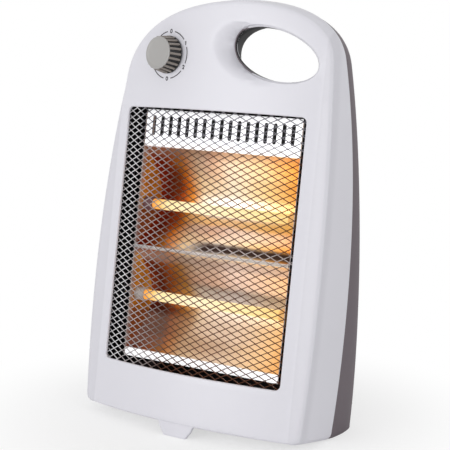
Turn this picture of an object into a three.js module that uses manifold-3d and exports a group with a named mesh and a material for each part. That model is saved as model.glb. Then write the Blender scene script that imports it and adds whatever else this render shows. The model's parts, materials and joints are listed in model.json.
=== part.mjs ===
// Two-bar quartz heater: a white front shell over a dark rear shell, with a curved wire guard,
// a twin-trough reflector, two glowing tubes, a rotary dial and a tip-over switch in the base.
import * as THREE from 'three';
import { mergeGeometries, mergeVertices } from 'three/addons/utils/BufferGeometryUtils.js';
import Module from 'manifold-3d';

const wasm = await Module();
wasm.setup();

// ---- Driving dimensions, in millimetres and degrees --------------------------------------
// The panel frame leans back: x runs across, y into the heater and z up along the front face.
const lean = 10;
const shellHalfWidth = 130;
const shellHeight = 397;
const crownOffset = 25;
const bottomCorner = 10;
const wall = 2.5;
const fitGap = 0.3;

const faceRadius = 340;
const bandWidth = 16;
const bandDrop = 1.7;
const ridgeInset = 3;
const ridgeDrop = 2.4;
const seamDepthBase = 72;
const seamDepthTop = 22;
const backDepthBase = 127;
const backDepthTop = 47;
const backBulge = 8.7;
const backCornerInset = 18;

const windowMargin = 30.25;
const windowBottom = 46.5;
const windowDrop = 105;
const windowCorner = 5;

const gripX = 66.5;
const gripDrop = 51;
const gripHalfLength = 38;
const gripHalfWidth = 22.5;
const gripTilt = 14;
const scoopShift = 26;
const scoopSpread = 19;
const scoopDepth = 9;

const footRootWidth = 36;
const footTipWidth = 23;
const footThickness = 3;

const meshColumns = 7;
const meshRows = 16;
const meshOverlap = 1.6;
const meshBorder = 3;
const meshScallop = 0.4;
const wireWidth = 1.4;
const wireThickness = 1;

const sheet = 0.8;
const troughMargin = 11.75;
const rimDepth = 30;
const troughDepth = 36;
const stripGap = 3;
const stripHeight = 33.5;
const troughDivide = 157.5;
const lowerTroughBottom = 58;
const reflectorBottom = 50;
const dividerRib = 4;
const slotCount = 17;
const slotPitch = 9.84;
const slotWidth = 4.3;
const slotDrop = 6;
const slotLength = 19.5;

const endPlateBack = 74;
const endFlangeReach = 11;
const shieldDepth = 70;

const tubeRadius = 5;
const tubeBore = 4;
const tubeDepth = 43;
const upperTubeHeight = 200;
const lowerTubeHeight = 110.5;
const capRadius = 6.5;
const capLength = 17;
const capReach = 10;
const capCollarRadius = 9;
const capCollarLength = 2;
const coilRadius = 3;
const coilWire = 0.9;
const coilCurls = 17;
const coilEndGap = 6;
const pinRadius = 1.2;
const pinLength = 20;

const dialX = -49.6;
const dialDrop = 55;
const knobRadius = 16.2;
const knobFaceRadius = 15.2;
const knobHeight = 14;
const knobFlutes = 24;
const fluteDepth = 0.9;
const knobClearance = 0.8;
const shaftRadius = 3;
const switchRadius = 14;
const switchDepth = 14;

const bossRadius = 5;
const screwRadius = 1.7;
const screwHeadRadius = 3.4;
const screwHeadHeight = 2.4;
const screwGrip = 12;
const wellFloor = 4;
const screwEdge = 16;
const lowScrewHeight = 30;
const midScrewHeight = 195;
const shoulderScrewInset = 40;
const shoulderScrewDrop = 75;
const crownScrewX = 2;
const crownScrewDrop = 31;
const frameScrewInset = 4.25;
const frameScrewHeights = [88, 226];

const ventRows = 8;
const ventPitch = 11;
const ventHeight = 5;
const ventLength = 68;
const ventGap = 14;
const ventBottom = 84;
const upperVentRows = 3;
const upperVentBottom = 252;

const plungerX = 62;
const plungerY = 97;
const plungerRadius = 4;
const plungerTravel = 6;
const collarRadius = 6;
const collarThickness = 2;
const stemRadius = 2;
const springCurls = 5;
const springWire = 0.8;
const springLength = 9;

const inletX = -78;
const inletHeight = 34;
const inletRadius = 7;
const inletBore = 4;

// ---- Values that follow from them ---------------------------------------------------------
const leanAngle = THREE.MathUtils.degToRad(lean);
const footDrop = seamDepthBase * Math.sin(leanAngle);
const guardDepth = wall + fitGap;
const creaseHalfWidth = shellHalfWidth - ridgeInset - bandWidth;
const windowHalfWidth = shellHalfWidth - windowMargin;
const windowTop = shellHeight - windowDrop;
const gripHeight = shellHeight - gripDrop;
const dialHeight = shellHeight - dialDrop;
const troughHalfLength = windowHalfWidth - troughMargin;
const stripTop = windowTop - stripGap;
const upperTroughTop = stripTop - stripHeight;
const slotTop = windowTop - slotDrop;
const slotBottom = slotTop - slotLength;
const coilHalfLength = troughHalfLength - coilEndGap;
const frameScrewX = windowHalfWidth - frameScrewInset;
const screwX = shellHalfWidth - screwEdge;
const shellScrews = [
  [-screwX, lowScrewHeight], [screwX, lowScrewHeight],
  [-screwX, midScrewHeight], [screwX, midScrewHeight],
  [shoulderScrewInset - shellHalfWidth, shellHeight - shoulderScrewDrop],
  [crownScrewX, shellHeight - crownScrewDrop],
];
const tubeHeights = { upper: upperTubeHeight, lower: lowerTubeHeight };
const sides = { left: -1, right: 1 };

// Depth of the front face behind its foremost line: a cylinder, then a flatter border band.
function faceDepth(x) {
  const inner = Math.min(Math.abs(x), creaseHalfWidth);
  const sagitta = faceRadius - Math.sqrt(faceRadius ** 2 - inner ** 2);
  return sagitta + bandDrop * Math.max(0, Math.abs(x) - creaseHalfWidth) / bandWidth;
}

// Depth of the seam between the shells: deep at the base, shallow at the handle.
function seamDepth(height) {
  const rise = Math.max(0, height) / shellHeight;
  return seamDepthBase - (seamDepthBase - seamDepthTop) * rise ** 3;
}

// Depth of the back of the rear shell, with a gentle bulge half way up.
function backDepth(height) {
  const rise = height / shellHeight;
  return backDepthBase + (backDepthTop - backDepthBase) * rise + 4 * backBulge * rise * (1 - rise);
}

// ---- Solids ---------------------------------------------------------------------------------
function solid(geometry) {
  const bare = geometry.clone();
  bare.deleteAttribute('normal');
  bare.deleteAttribute('uv');
  const merged = mergeVertices(bare, 1e-4);
  const corners = merged.index.array;
  const triangles = [];
  for (let i = 0; i < corners.length; i += 3) {
    const [a, b, c] = corners.slice(i, i + 3);
    if (a !== b && b !== c && c !== a) triangles.push(a, b, c);
  }
  return new wasm.Manifold(new wasm.Mesh({
    numProp: 3,
    vertProperties: new Float32Array(merged.attributes.position.array),
    triVerts: new Uint32Array(triangles),
  }));
}

function geometryOf(body) {
  const mesh = body.getMesh();
  const geometry = new THREE.BufferGeometry();
  geometry.setAttribute('position', new THREE.BufferAttribute(mesh.vertProperties, 3));
  geometry.setIndex(new THREE.BufferAttribute(mesh.triVerts, 1));
  geometry.computeVertexNormals();
  return geometry;
}

const join = (first, ...others) => others.reduce((sum, geometry) => sum.add(solid(geometry)), solid(first));
const cut = (body, ...tools) => tools.reduce((rest, geometry) => rest.subtract(solid(geometry)), body);

// A round bar from y = start to y = end, standing on the point (x, z).
function barAlongY(radius, start, end, x = 0, z = 0, segments = roundSides, endRadius = radius) {
  return new THREE.CylinderGeometry(endRadius, radius, end - start, segments)
    .translate(x, (start + end) / 2, z);
}

function barAlongX(radius, start, end, y = 0, z = 0, segments = roundSides) {
  return new THREE.CylinderGeometry(radius, radius, end - start, segments)
    .rotateZ(-Math.PI / 2)
    .translate((start + end) / 2, y, z);
}

function barAlongZ(radius, start, end, x = 0, y = 0, segments = roundSides) {
  return new THREE.CylinderGeometry(radius, radius, end - start, segments)
    .rotateX(Math.PI / 2)
    .translate(x, y, (start + end) / 2);
}

function block(xLow, xHigh, yLow, yHigh, zLow, zHigh) {
  return new THREE.BoxGeometry(xHigh - xLow, yHigh - yLow, zHigh - zLow)
    .translate((xLow + xHigh) / 2, (yLow + yHigh) / 2, (zLow + zHigh) / 2);
}

// A shape drawn in x and z, extruded in depth from y = start to y = end.
function plateAlongY(shape, start, end, curveSegments = 6) {
  return new THREE.ExtrudeGeometry(shape, { depth: end - start, bevelEnabled: false, curveSegments })
    .rotateX(Math.PI / 2)
    .translate(0, end, 0);
}

// A shape drawn in y and z, extruded across from x = start to x = end.
function plateAlongX(shape, start, end, curveSegments = 6) {
  return new THREE.ExtrudeGeometry(shape, { depth: end - start, bevelEnabled: false, curveSegments })
    .applyMatrix4(new THREE.Matrix4().makeBasis(
      new THREE.Vector3(0, 1, 0), new THREE.Vector3(0, 0, 1), new THREE.Vector3(1, 0, 0)))
    .translate(start, 0, 0);
}

function roundedRectangle(xLow, xHigh, zLow, zHigh, radius) {
  const shape = new THREE.Shape();
  shape.moveTo(xLow + radius, zLow);
  shape.lineTo(xHigh - radius, zLow);
  shape.absarc(xHigh - radius, zLow + radius, radius, -Math.PI / 2, 0);
  shape.lineTo(xHigh, zHigh - radius);
  shape.absarc(xHigh - radius, zHigh - radius, radius, 0, Math.PI / 2);
  shape.lineTo(xLow + radius, zHigh);
  shape.absarc(xLow + radius, zHigh - radius, radius, Math.PI / 2, Math.PI);
  shape.lineTo(xLow, zLow + radius);
  shape.absarc(xLow + radius, zLow + radius, radius, Math.PI, 1.5 * Math.PI);
  return shape;
}

// Fineness of the facets.
const faceColumns = 5;
const backColumns = 1;
const bossSides = 10;
const boreSides = 8;
const roundSides = 16;

// ---- Frames and finishes --------------------------------------------------------------------
const heater = new THREE.Group();
const panel = new THREE.Group();
panel.position.z = footDrop;
panel.rotation.x = -leanAngle;
heater.add(panel);
panel.updateMatrix();
const intoPanel = panel.matrix.clone().invert();

const finishes = {
  white: { color: 0xdcdae2, roughness: 0.38, metalness: 0 },
  plum: { color: 0x6a6068, roughness: 0.5, metalness: 0 },
  chrome: { color: 0xd4d4d6, roughness: 0.18, metalness: 1 },
  mirror: { color: 0xe0dedd, roughness: 0.12, metalness: 1 },
  galvanised: { color: 0x9a9a9c, roughness: 0.45, metalness: 0.9 },
  quartz: { color: 0xffd9a0, roughness: 0.2, metalness: 0 },
  hotWire: { color: 0xff8a2a, roughness: 0.6, metalness: 0.4 },
  ceramic: { color: 0xe4e0d8, roughness: 0.7, metalness: 0 },
  dial: { color: 0xa7a7a2, roughness: 0.45, metalness: 0 },
  brass: { color: 0xc2a25a, roughness: 0.35, metalness: 1 },
  phenolic: { color: 0x2c2926, roughness: 0.6, metalness: 0 },
  rubber: { color: 0x242425, roughness: 0.85, metalness: 0 },
};

function addPart(parent, name, body, finish) {
  const geometry = body.isBufferGeometry ? body : geometryOf(body);
  const mesh = new THREE.Mesh(geometry, new THREE.MeshStandardMaterial(finishes[finish]));
  mesh.name = name;
  parent.add(mesh);
  return mesh;
}

// ---- Outline of the housing -----------------------------------------------------------------
// Each side climbs from the bottom edge round the corner, up the flank and over the shoulder.
function sideOutline(side, flank, shoulder) {
  const path = new THREE.Path();
  const foot = shellHalfWidth - bottomCorner - 3;
  path.moveTo(side * foot, 0);
  path.quadraticCurveTo(side * (foot + bottomCorner), 0, side * flank[0][0], flank[0][1]);
  path.bezierCurveTo(...flank.slice(1).flatMap(([x, z]) => [side * x, z]));
  path.bezierCurveTo(...shoulder.flatMap(([x, z]) => [side * x, z]));
  const samples = [2, 6, 6];
  return path.curves.flatMap((curve, i) => curve.getPoints(samples[i]).slice(i === 0 ? 0 : 1));
}

const widest = shellHalfWidth + 3;
const cornerEnd = [shellHalfWidth - 3.5, bottomCorner];
const leftFlank = [cornerEnd, [widest, 100], [widest, 215], [shellHalfWidth - 18, shellHeight - 75]];
const leftShoulder = [
  [shellHalfWidth - 22, shellHeight - 29], [50, shellHeight - 3], [-crownOffset, shellHeight]];
const rightFlank = [cornerEnd, [widest, 100], [widest - 2.5, 250], [shellHalfWidth - 9, shellHeight - 49]];
const rightShoulder = [
  [shellHalfWidth - 13, shellHeight - 14], [76, shellHeight], [crownOffset, shellHeight]];
const leftSide = sideOutline(-1, leftFlank, leftShoulder);
const rightSide = sideOutline(1, rightFlank, rightShoulder);

// A level of the housing: the outline drawn in by an inset, raised off the floor by a lift.
function shrink(point, { inset = 0, lift = 0 }) {
  return new THREE.Vector2(
    point.x * (shellHalfWidth - inset) / shellHalfWidth,
    lift + point.y * (shellHeight - inset - lift) / shellHeight);
}

// Upright grid lines that follow the curve of the face, from crease to crease.
function gridLines(count) {
  return Array.from({ length: 2 * count + 1 }, (_, i) => (i / count - 1) * creaseHalfWidth);
}

// A closed body whose front and back are grids over the outline and whose rim runs from level
// to level. Each level has an inset, a lift and a depth that depends on the place.
function housingBody(levels, columnLines) {
  const rowCount = leftSide.length;
  const positions = [];
  const place = (level, point) => [point.x, level.depth(point.x, point.y), point.y];
  const grids = levels.map((level) => leftSide.map((leftPoint, row) => {
    const left = shrink(leftPoint, level);
    const right = shrink(rightSide[row], level);
    const lines = [left.x, ...columnLines, right.x];
    return lines.map((line) => {
      const x = THREE.MathUtils.clamp(line, left.x, right.x);
      const share = right.x > left.x ? (x - left.x) / (right.x - left.x) : 0;
      return place(level, new THREE.Vector2(x, left.y + (right.y - left.y) * share));
    });
  }));
  const quad = (a, b, c, d) => positions.push(...a, ...b, ...c, ...a, ...c, ...d);
  const lastColumn = columnLines.length + 1;
  const front = grids[0];
  const back = grids[grids.length - 1];
  for (let row = 0; row + 1 < rowCount; row += 1) {
    for (let column = 0; column < lastColumn; column += 1) {
      quad(front[row][column], front[row][column + 1], front[row + 1][column + 1], front[row + 1][column]);
      quad(back[row][column], back[row + 1][column], back[row + 1][column + 1], back[row][column + 1]);
    }
  }
  const rim = (grid) => [
    ...grid[0],
    ...grid.slice(1).map((cells) => cells[lastColumn]),
    ...grid.slice(1).reverse().map((cells) => cells[0]),
  ];
  for (let i = 0; i + 1 < grids.length; i += 1) {
    const outer = rim(grids[i]);
    const inner = rim(grids[i + 1]);
    outer.forEach((point, k) => {
      const next = (k + 1) % outer.length;
      quad(point, inner[k], inner[next], outer[next]);
    });
  }
  const geometry = new THREE.BufferGeometry();
  geometry.setAttribute('position', new THREE.Float32BufferAttribute(positions, 3));
  return geometry;
}

// ---- Handle grip ----------------------------------------------------------------------------
function ovalPoints(grow, shiftX, segments = 24) {
  const tilt = THREE.MathUtils.degToRad(-gripTilt);
  return Array.from({ length: segments }, (_, i) => {
    const turn = 2 * Math.PI * i / segments;
    const along = (gripHalfLength + grow) * Math.cos(turn);
    const across = (gripHalfWidth + grow) * Math.sin(turn);
    return new THREE.Vector2(
      gripX + shiftX + along * Math.cos(tilt) - across * Math.sin(tilt),
      gripHeight + shiftX / 4 + along * Math.sin(tilt) + across * Math.cos(tilt));
  });
}

// A sleeve-shaped plug between two ovals, used to open the grip and to scoop its approach.
function ovalPlug(front, back) {
  const positions = [];
  const ring = ({ grow, shift, depth }) => ovalPoints(grow, shift)
    .map((point) => [point.x, typeof depth === 'function' ? depth(point.x) : depth, point.y]);
  const a = ring(front);
  const b = ring(back);
  const centre = (points) => points
    .reduce((sum, point) => sum.map((value, axis) => value + point[axis] / points.length), [0, 0, 0]);
  const middleA = centre(a);
  const middleB = centre(b);
  a.forEach((point, i) => {
    const j = (i + 1) % a.length;
    positions.push(...middleA, ...point, ...a[j], ...middleB, ...b[j], ...b[i]);
    positions.push(...point, ...b[i], ...b[j], ...point, ...b[j], ...a[j]);
  });
  const geometry = new THREE.BufferGeometry();
  geometry.setAttribute('position', new THREE.Float32BufferAttribute(positions, 3));
  return geometry;
}

const gripPlug = (grow) => ovalPlug(
  { grow, shift: 0, depth: -20 },
  { grow, shift: 0, depth: backDepthBase });
const gripFaceDepth = faceDepth(gripX - gripHalfLength / 2);
// The white lip round the grip ends here, and the dark sleeve of the rear shell begins.
const lipEnd = (extra) => (x) => (
  Math.max(gripFaceDepth + scoopDepth, faceDepth(x)) + wall + 1 + extra);
const scoopPlug = (grow) => ovalPlug(
  { grow: scoopSpread + grow, shift: -scoopShift, depth: gripFaceDepth - 8 + grow },
  { grow: grow - 0.8, shift: 0, depth: gripFaceDepth + scoopDepth + grow });

// ---- Front shell ----------------------------------------------------------------------------
function sag(drop) {
  return (x) => faceDepth(x) + drop;
}

const seamAt = (extra) => (x, z) => seamDepth(z) + extra;

function makeFrontShell() {
  const outside = solid(housingBody([
    { inset: ridgeInset + 4, lift: 2, depth: sag(0) },
    { inset: ridgeInset + 1, lift: 0.6, depth: sag(ridgeDrop * 0.3) },
    { inset: ridgeInset, lift: 0, depth: sag(ridgeDrop) },
    { inset: 0, lift: 0, depth: seamAt(0) },
  ], gridLines(faceColumns)));
  const inside = solid(housingBody([
    { inset: ridgeInset + 4 + wall, lift: 2 + wall, depth: sag(wall) },
    { inset: ridgeInset + wall, lift: wall, depth: sag(ridgeDrop + wall) },
    { inset: wall, lift: wall, depth: seamAt(5) },
  ], gridLines(faceColumns)));
  const hollow = inside
    .subtract(solid(ovalPlug(
      { grow: wall, shift: 0, depth: -20 },
      { grow: wall, shift: 0, depth: lipEnd(0) })))
    .subtract(solid(scoopPlug(wall)));
  let shell = outside.subtract(hollow);
  shellScrews.forEach(([x, z]) => {
    const seat = seamDepth(z) - fitGap;
    const boss = barAlongY(bossRadius, faceDepth(x) + wall / 2, seat, x, z, bossSides);
    const hole = barAlongY(screwRadius + fitGap, seat - screwGrip, seat + 1, x, z, boreSides);
    shell = shell.add(solid(boss)).subtract(solid(hole));
  });
  shell = shell.add(solid(makeFoot()));
  return shell
    .subtract(solid(plateAlongY(
      roundedRectangle(-windowHalfWidth, windowHalfWidth, windowBottom, windowTop, windowCorner),
      -20, seamDepthTop + 10)))
    .subtract(solid(scoopPlug(0)))
    .subtract(solid(gripPlug(0)))
    .subtract(solid(dialHole()))
    .intersect(solid(aboveFloor(0)));
}

// The front foot hangs from the lower edge of the face and stands on the floor.
function makeFoot() {
  const root = footRootWidth / 2;
  const tip = footTipWidth / 2;
  const drop = footDrop + 2;
  const fillet = 5;
  const shape = new THREE.Shape();
  shape.moveTo(-root - fillet, wall);
  shape.lineTo(-root - fillet, 0.5);
  shape.quadraticCurveTo(-root, 0, -root + 1.5, -fillet);
  shape.lineTo(-tip - 1, -drop);
  shape.lineTo(tip + 1, -drop);
  shape.lineTo(root - 1.5, -fillet);
  shape.quadraticCurveTo(root, 0, root + fillet, 0.5);
  shape.lineTo(root + fillet, wall);
  return plateAlongY(shape, faceDepth(root + fillet) + 0.1, footThickness);
}

function aboveFloor(height) {
  const reach = 2 * shellHeight;
  return block(-reach, reach, -reach, reach, height, reach).applyMatrix4(intoPanel);
}

function dialHole() {
  return barAlongY(shaftRadius + 1.5, -10, 12, 0, 0, 20).applyMatrix4(dial.matrix);
}

// The dial's own frame stands square to the curved face, with y pointing into the heater.
const dial = new THREE.Group();
dial.position.set(dialX, faceDepth(dialX), dialHeight);
dial.rotation.z = Math.asin(dialX / faceRadius);
dial.updateMatrix();
panel.add(dial);

// ---- Rear shell -----------------------------------------------------------------------------
const towardsBack = (share, trim = 0) => (x, z) => {
  const start = seamDepth(z) + fitGap;
  return start + share * (backDepth(z) - start) - trim;
};

function makeRearShell() {
  const frameSeat = endPlateBack + sheet + fitGap;
  const outside = solid(housingBody([
    { inset: 0.5, depth: towardsBack(0) },
    { inset: 3, depth: towardsBack(0.7) },
    { inset: 6.5, depth: towardsBack(0.9) },
    { inset: backCornerInset, depth: towardsBack(1) },
  ], gridLines(backColumns))).intersect(solid(aboveFloor(0)));
  const inside = solid(housingBody([
    { inset: 0.5 + wall, depth: seamAt(-10) },
    { inset: 0.5 + wall, depth: towardsBack(0) },
    { inset: 3 + wall, depth: towardsBack(0.7, wall / 2) },
    { inset: 6.5 + wall, depth: towardsBack(0.9, wall * 0.8) },
    { inset: backCornerInset + wall / 2, depth: towardsBack(1, wall) },
  ], gridLines(backColumns))).intersect(solid(aboveFloor(wall)));
  let hollow = inside.subtract(solid(gripPlug(wall)));
  shellScrews.forEach(([x, z]) => {
    const boss = barAlongY(bossRadius, seamDepth(z) + fitGap, backDepth(z), x, z, bossSides);
    hollow = hollow.subtract(solid(boss));
  });
  frameScrewHeights.forEach((z) => Object.values(sides).forEach((side) => {
    const boss = barAlongY(bossRadius, frameSeat, backDepth(z), side * frameScrewX, z, bossSides);
    hollow = hollow.subtract(solid(boss));
  }));
  const sleeve = ovalPlug(
    { grow: wall, shift: 0, depth: lipEnd(fitGap) },
    { grow: wall, shift: 0, depth: seamDepthTop + gripHalfWidth });
  let shell = outside.subtract(hollow).add(solid(sleeve)).subtract(solid(gripPlug(0)));
  shellScrews.forEach(([x, z]) => {
    const floor = seamDepth(z) + wellFloor;
    shell = shell
      .subtract(solid(barAlongY(screwRadius + fitGap, floor - 10, floor + 1, x, z, boreSides)))
      .subtract(solid(barAlongY(screwHeadRadius + fitGap, floor, backDepth(z) + 10, x, z, bossSides)));
  });
  frameScrewHeights.forEach((z) => Object.values(sides).forEach((side) => {
    const x = side * frameScrewX;
    const hole = barAlongY(screwRadius + fitGap, frameSeat - 1, frameSeat + screwGrip, x, z, boreSides);
    shell = shell.subtract(solid(hole));
  }));
  ventSlots().forEach((slot) => {
    shell = shell.subtract(solid(slot));
  });
  const back = backAtFloorHeight(inletHeight);
  const inletHole = barAlongY(inletRadius + fitGap, back - 20, back + 20, inletX, inletHeight);
  const plungerHole = barAlongZ(plungerRadius + 0.5, -5, wall + 5, plungerX, plungerY);
  return shell
    .subtract(solid(inletHole.applyMatrix4(intoPanel)))
    .subtract(solid(plungerHole.applyMatrix4(intoPanel)));
}

// Two columns of level slots through the back, and a shorter pair above them.
function ventSlots() {
  const slots = [];
  const addRows = (count, bottom) => {
    for (let row = 0; row < count; row += 1) {
      const z = bottom + row * ventPitch;
      [-ventLength - ventGap / 2, ventGap / 2].forEach((x) => {
        slots.push(block(x, x + ventLength, backDepth(z) - 6, backDepth(z) + 12, z, z + ventHeight));
      });
    }
  };
  addRows(ventRows, ventBottom);
  addRows(upperVentRows, upperVentBottom);
  return slots;
}

// ---- Wire guard -----------------------------------------------------------------------------
// Keeps the part of an outline that lies on the inner side of a limit along one axis.
function clip(points, axis, limit, side) {
  return points.flatMap((point, i) => {
    const next = points[(i + 1) % points.length];
    const pointIn = side * (limit - point[axis]) >= 0;
    const nextIn = side * (limit - next[axis]) >= 0;
    const kept = pointIn ? [point] : [];
    if (pointIn !== nextIn) {
      const share = (limit - point[axis]) / (next[axis] - point[axis]);
      kept.push([0, 1].map((k) => point[k] + share * (next[k] - point[k])));
    }
    return kept;
  });
}

// A net of diamonds inside a border, drawn flat and then bent to the curve of the face.
function makeGuard() {
  const halfWidth = windowHalfWidth + meshOverlap;
  const bottom = windowBottom - meshOverlap;
  const top = windowTop + meshOverlap;
  const halfX = halfWidth / meshColumns;
  const halfZ = (top - bottom) / (2 * meshRows);
  const slant = Math.hypot(halfX, halfZ);
  const reachX = halfX - wireWidth * slant / (2 * halfZ);
  const reachZ = halfZ - wireWidth * slant / (2 * halfX);
  const inset = wireWidth / 2;

  // The border's long edges are scalloped, a point for each half diamond.
  const border = [[bottom - meshBorder, -1], [top + meshBorder, 1]].flatMap(([z, outward]) => {
    const steps = Array.from({ length: 2 * meshColumns + 1 }, (_, i) => (
      [(i / meshColumns - 1) * (halfWidth + meshBorder), z + outward * meshScallop * (i % 2)]));
    return outward > 0 ? steps.reverse() : steps;
  });
  const plate = new THREE.Shape(border.map(([x, z]) => new THREE.Vector2(x, z)));
  const gaps = [];
  for (let row = 0; row <= 2 * meshRows; row += 1) {
    for (let column = row % 2; column <= 2 * meshColumns; column += 2) {
      const x = -halfWidth + column * halfX;
      const z = bottom + row * halfZ;
      let gap = [[x + reachX, z], [x, z + reachZ], [x - reachX, z], [x, z - reachZ]];
      gap = clip(gap, 0, halfWidth - inset, 1);
      gap = clip(gap, 0, inset - halfWidth, -1);
      gap = clip(gap, 1, top - inset, 1);
      gap = clip(gap, 1, bottom + inset, -1);
      const outline = new THREE.Shape(gap.map(([gapX, gapZ]) => new THREE.Vector2(gapX, gapZ)));
      gaps.push(plateAlongY(outline, guardDepth - 1, guardDepth + wireThickness + 1));
    }
  }
  const flat = solid(plateAlongY(plate, guardDepth, guardDepth + wireThickness));
  const guard = geometryOf(flat.subtract(solid(mergeGeometries(gaps))));
  const position = guard.attributes.position;
  for (let i = 0; i < position.count; i += 1) {
    position.setY(i, position.getY(i) + faceDepth(position.getX(i)));
  }
  return guard;
}

// ---- Sheet metal ----------------------------------------------------------------------------
// The closed section of a bent sheet, from the line of its front surface.
function sheetSection(line, thickness) {
  const points = line.map(([a, b]) => new THREE.Vector2(a, b));
  const back = points.map((point, i) => {
    const before = points[Math.max(i - 1, 0)];
    const after = points[Math.min(i + 1, points.length - 1)];
    const arriving = point.clone().sub(before).normalize();
    const leaving = after.clone().sub(point).normalize();
    const run = arriving.clone().add(leaving).normalize();
    const single = i === 0 ? leaving : arriving;
    const normal = new THREE.Vector2(-run.y, run.x);
    const mitre = normal.dot(new THREE.Vector2(-single.y, single.x));
    return point.clone().addScaledVector(normal, thickness / mitre);
  });
  return new THREE.Shape([...points, ...back.reverse()]);
}

function troughLine(top, bottom, samples = 10) {
  const middle = (top + bottom) / 2;
  const half = (top - bottom) / 2;
  return Array.from({ length: samples + 1 }, (_, i) => {
    const share = 1 - 2 * i / samples;
    return [rimDepth + troughDepth * (1 - share ** 2), middle + half * share];
  });
}

// One polished sheet: the slotted strip, two parabolic troughs and the rib between them.
function makeReflector() {
  const rib = dividerRib / 2;
  const line = [
    [rimDepth, stripTop],
    ...troughLine(upperTroughTop, troughDivide + rib),
    [rimDepth - rib, troughDivide],
    ...troughLine(troughDivide - rib, lowerTroughBottom),
    [rimDepth, reflectorBottom],
  ];
  let reflector = solid(plateAlongX(sheetSection(line, sheet), -troughHalfLength, troughHalfLength));
  for (let i = 0; i < slotCount; i += 1) {
    const x = (i - (slotCount - 1) / 2) * slotPitch;
    const half = slotWidth / 2;
    const slot = roundedRectangle(x - half, x + half, slotBottom, slotTop, half - 0.1);
    reflector = reflector.subtract(solid(plateAlongY(slot, rimDepth - 2, rimDepth + 4, 1)));
  }
  return reflector;
}

function makeHeatShield() {
  const top = upperTroughTop - 6;
  const bottom = lowerTroughBottom + 6;
  const back = shieldDepth + 6;
  const line = [[back, top], [shieldDepth, top], [shieldDepth, bottom], [back, bottom]];
  return solid(plateAlongX(sheetSection(line, sheet), -troughHalfLength, troughHalfLength));
}

// A side plate closes the trough ends, carries the tubes and turns outward at the back.
function makeEndPlate(side) {
  const inner = troughHalfLength + fitGap;
  const slopeStart = upperTubeHeight + 34;
  const web = new THREE.Shape([
    [rimDepth, reflectorBottom], [endPlateBack, reflectorBottom + 16], [endPlateBack, slopeStart],
    [rimDepth + 12, stripTop], [rimDepth, stripTop],
  ].map(([y, z]) => new THREE.Vector2(y, z)));
  const flangeEnd = inner + sheet + endFlangeReach;
  const [screwLow, screwHigh] = frameScrewHeights;
  let plate = join(
    plateAlongX(web, inner, inner + sheet),
    block(inner, flangeEnd, endPlateBack - 0.1, endPlateBack + sheet, screwLow - 9, screwHigh + 7));
  Object.values(tubeHeights).forEach((z) => {
    plate = plate.subtract(solid(barAlongX(capRadius + fitGap, inner - 5, inner + 5, tubeDepth, z)));
  });
  frameScrewHeights.forEach((z) => {
    const radius = screwRadius + fitGap;
    const hole = barAlongY(radius, endPlateBack - 3, endPlateBack + 3, frameScrewX, z, boreSides);
    plate = plate.subtract(solid(hole));
  });
  return side > 0 ? plate : plate.mirror([1, 0, 0]);
}

// ---- Heating elements -----------------------------------------------------------------------
const ringSection = (outer, inner) => {
  const shape = new THREE.Shape().absarc(0, 0, outer, 0, 2 * Math.PI);
  shape.holes.push(new THREE.Path().absarc(0, 0, inner, 0, 2 * Math.PI));
  return shape;
};

const capInner = troughHalfLength - capReach;

function makeTube(z) {
  const half = capInner + capLength - 5;
  const length = 2 * half;
  return solid(new THREE.ExtrudeGeometry(ringSection(tubeRadius, tubeBore),
    { depth: length, bevelEnabled: false, curveSegments: 10 })
    .rotateY(Math.PI / 2)
    .translate(-half, tubeDepth, z));
}

function makeCap(side, z) {
  const collarStart = troughHalfLength + sheet + 2 * fitGap;
  const end = capInner + capLength;
  let cap = join(
    barAlongX(capRadius, capInner, end, tubeDepth, z),
    barAlongX(capCollarRadius, collarStart, collarStart + capCollarLength, tubeDepth, z));
  cap = cut(cap,
    barAlongX(tubeRadius + fitGap, capInner - 1, end - 4.5, tubeDepth, z),
    barAlongX(pinRadius + fitGap, end - 6, end + 1, tubeDepth, z, boreSides));
  return side > 0 ? cap : cap.mirror([1, 0, 0]);
}

// A terminal pin runs out of the cap and ends in a flat blade.
function makePin(side, z) {
  const start = coilHalfLength + coilWire + fitGap;
  const end = start + pinLength;
  const pin = join(
    barAlongX(pinRadius, start, end - 6, tubeDepth, z, 10),
    block(end - 7, end, tubeDepth - 2.4, tubeDepth + 2.4, z - 0.4, z + 0.4));
  return side > 0 ? pin : pin.mirror([1, 0, 0]);
}

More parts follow.
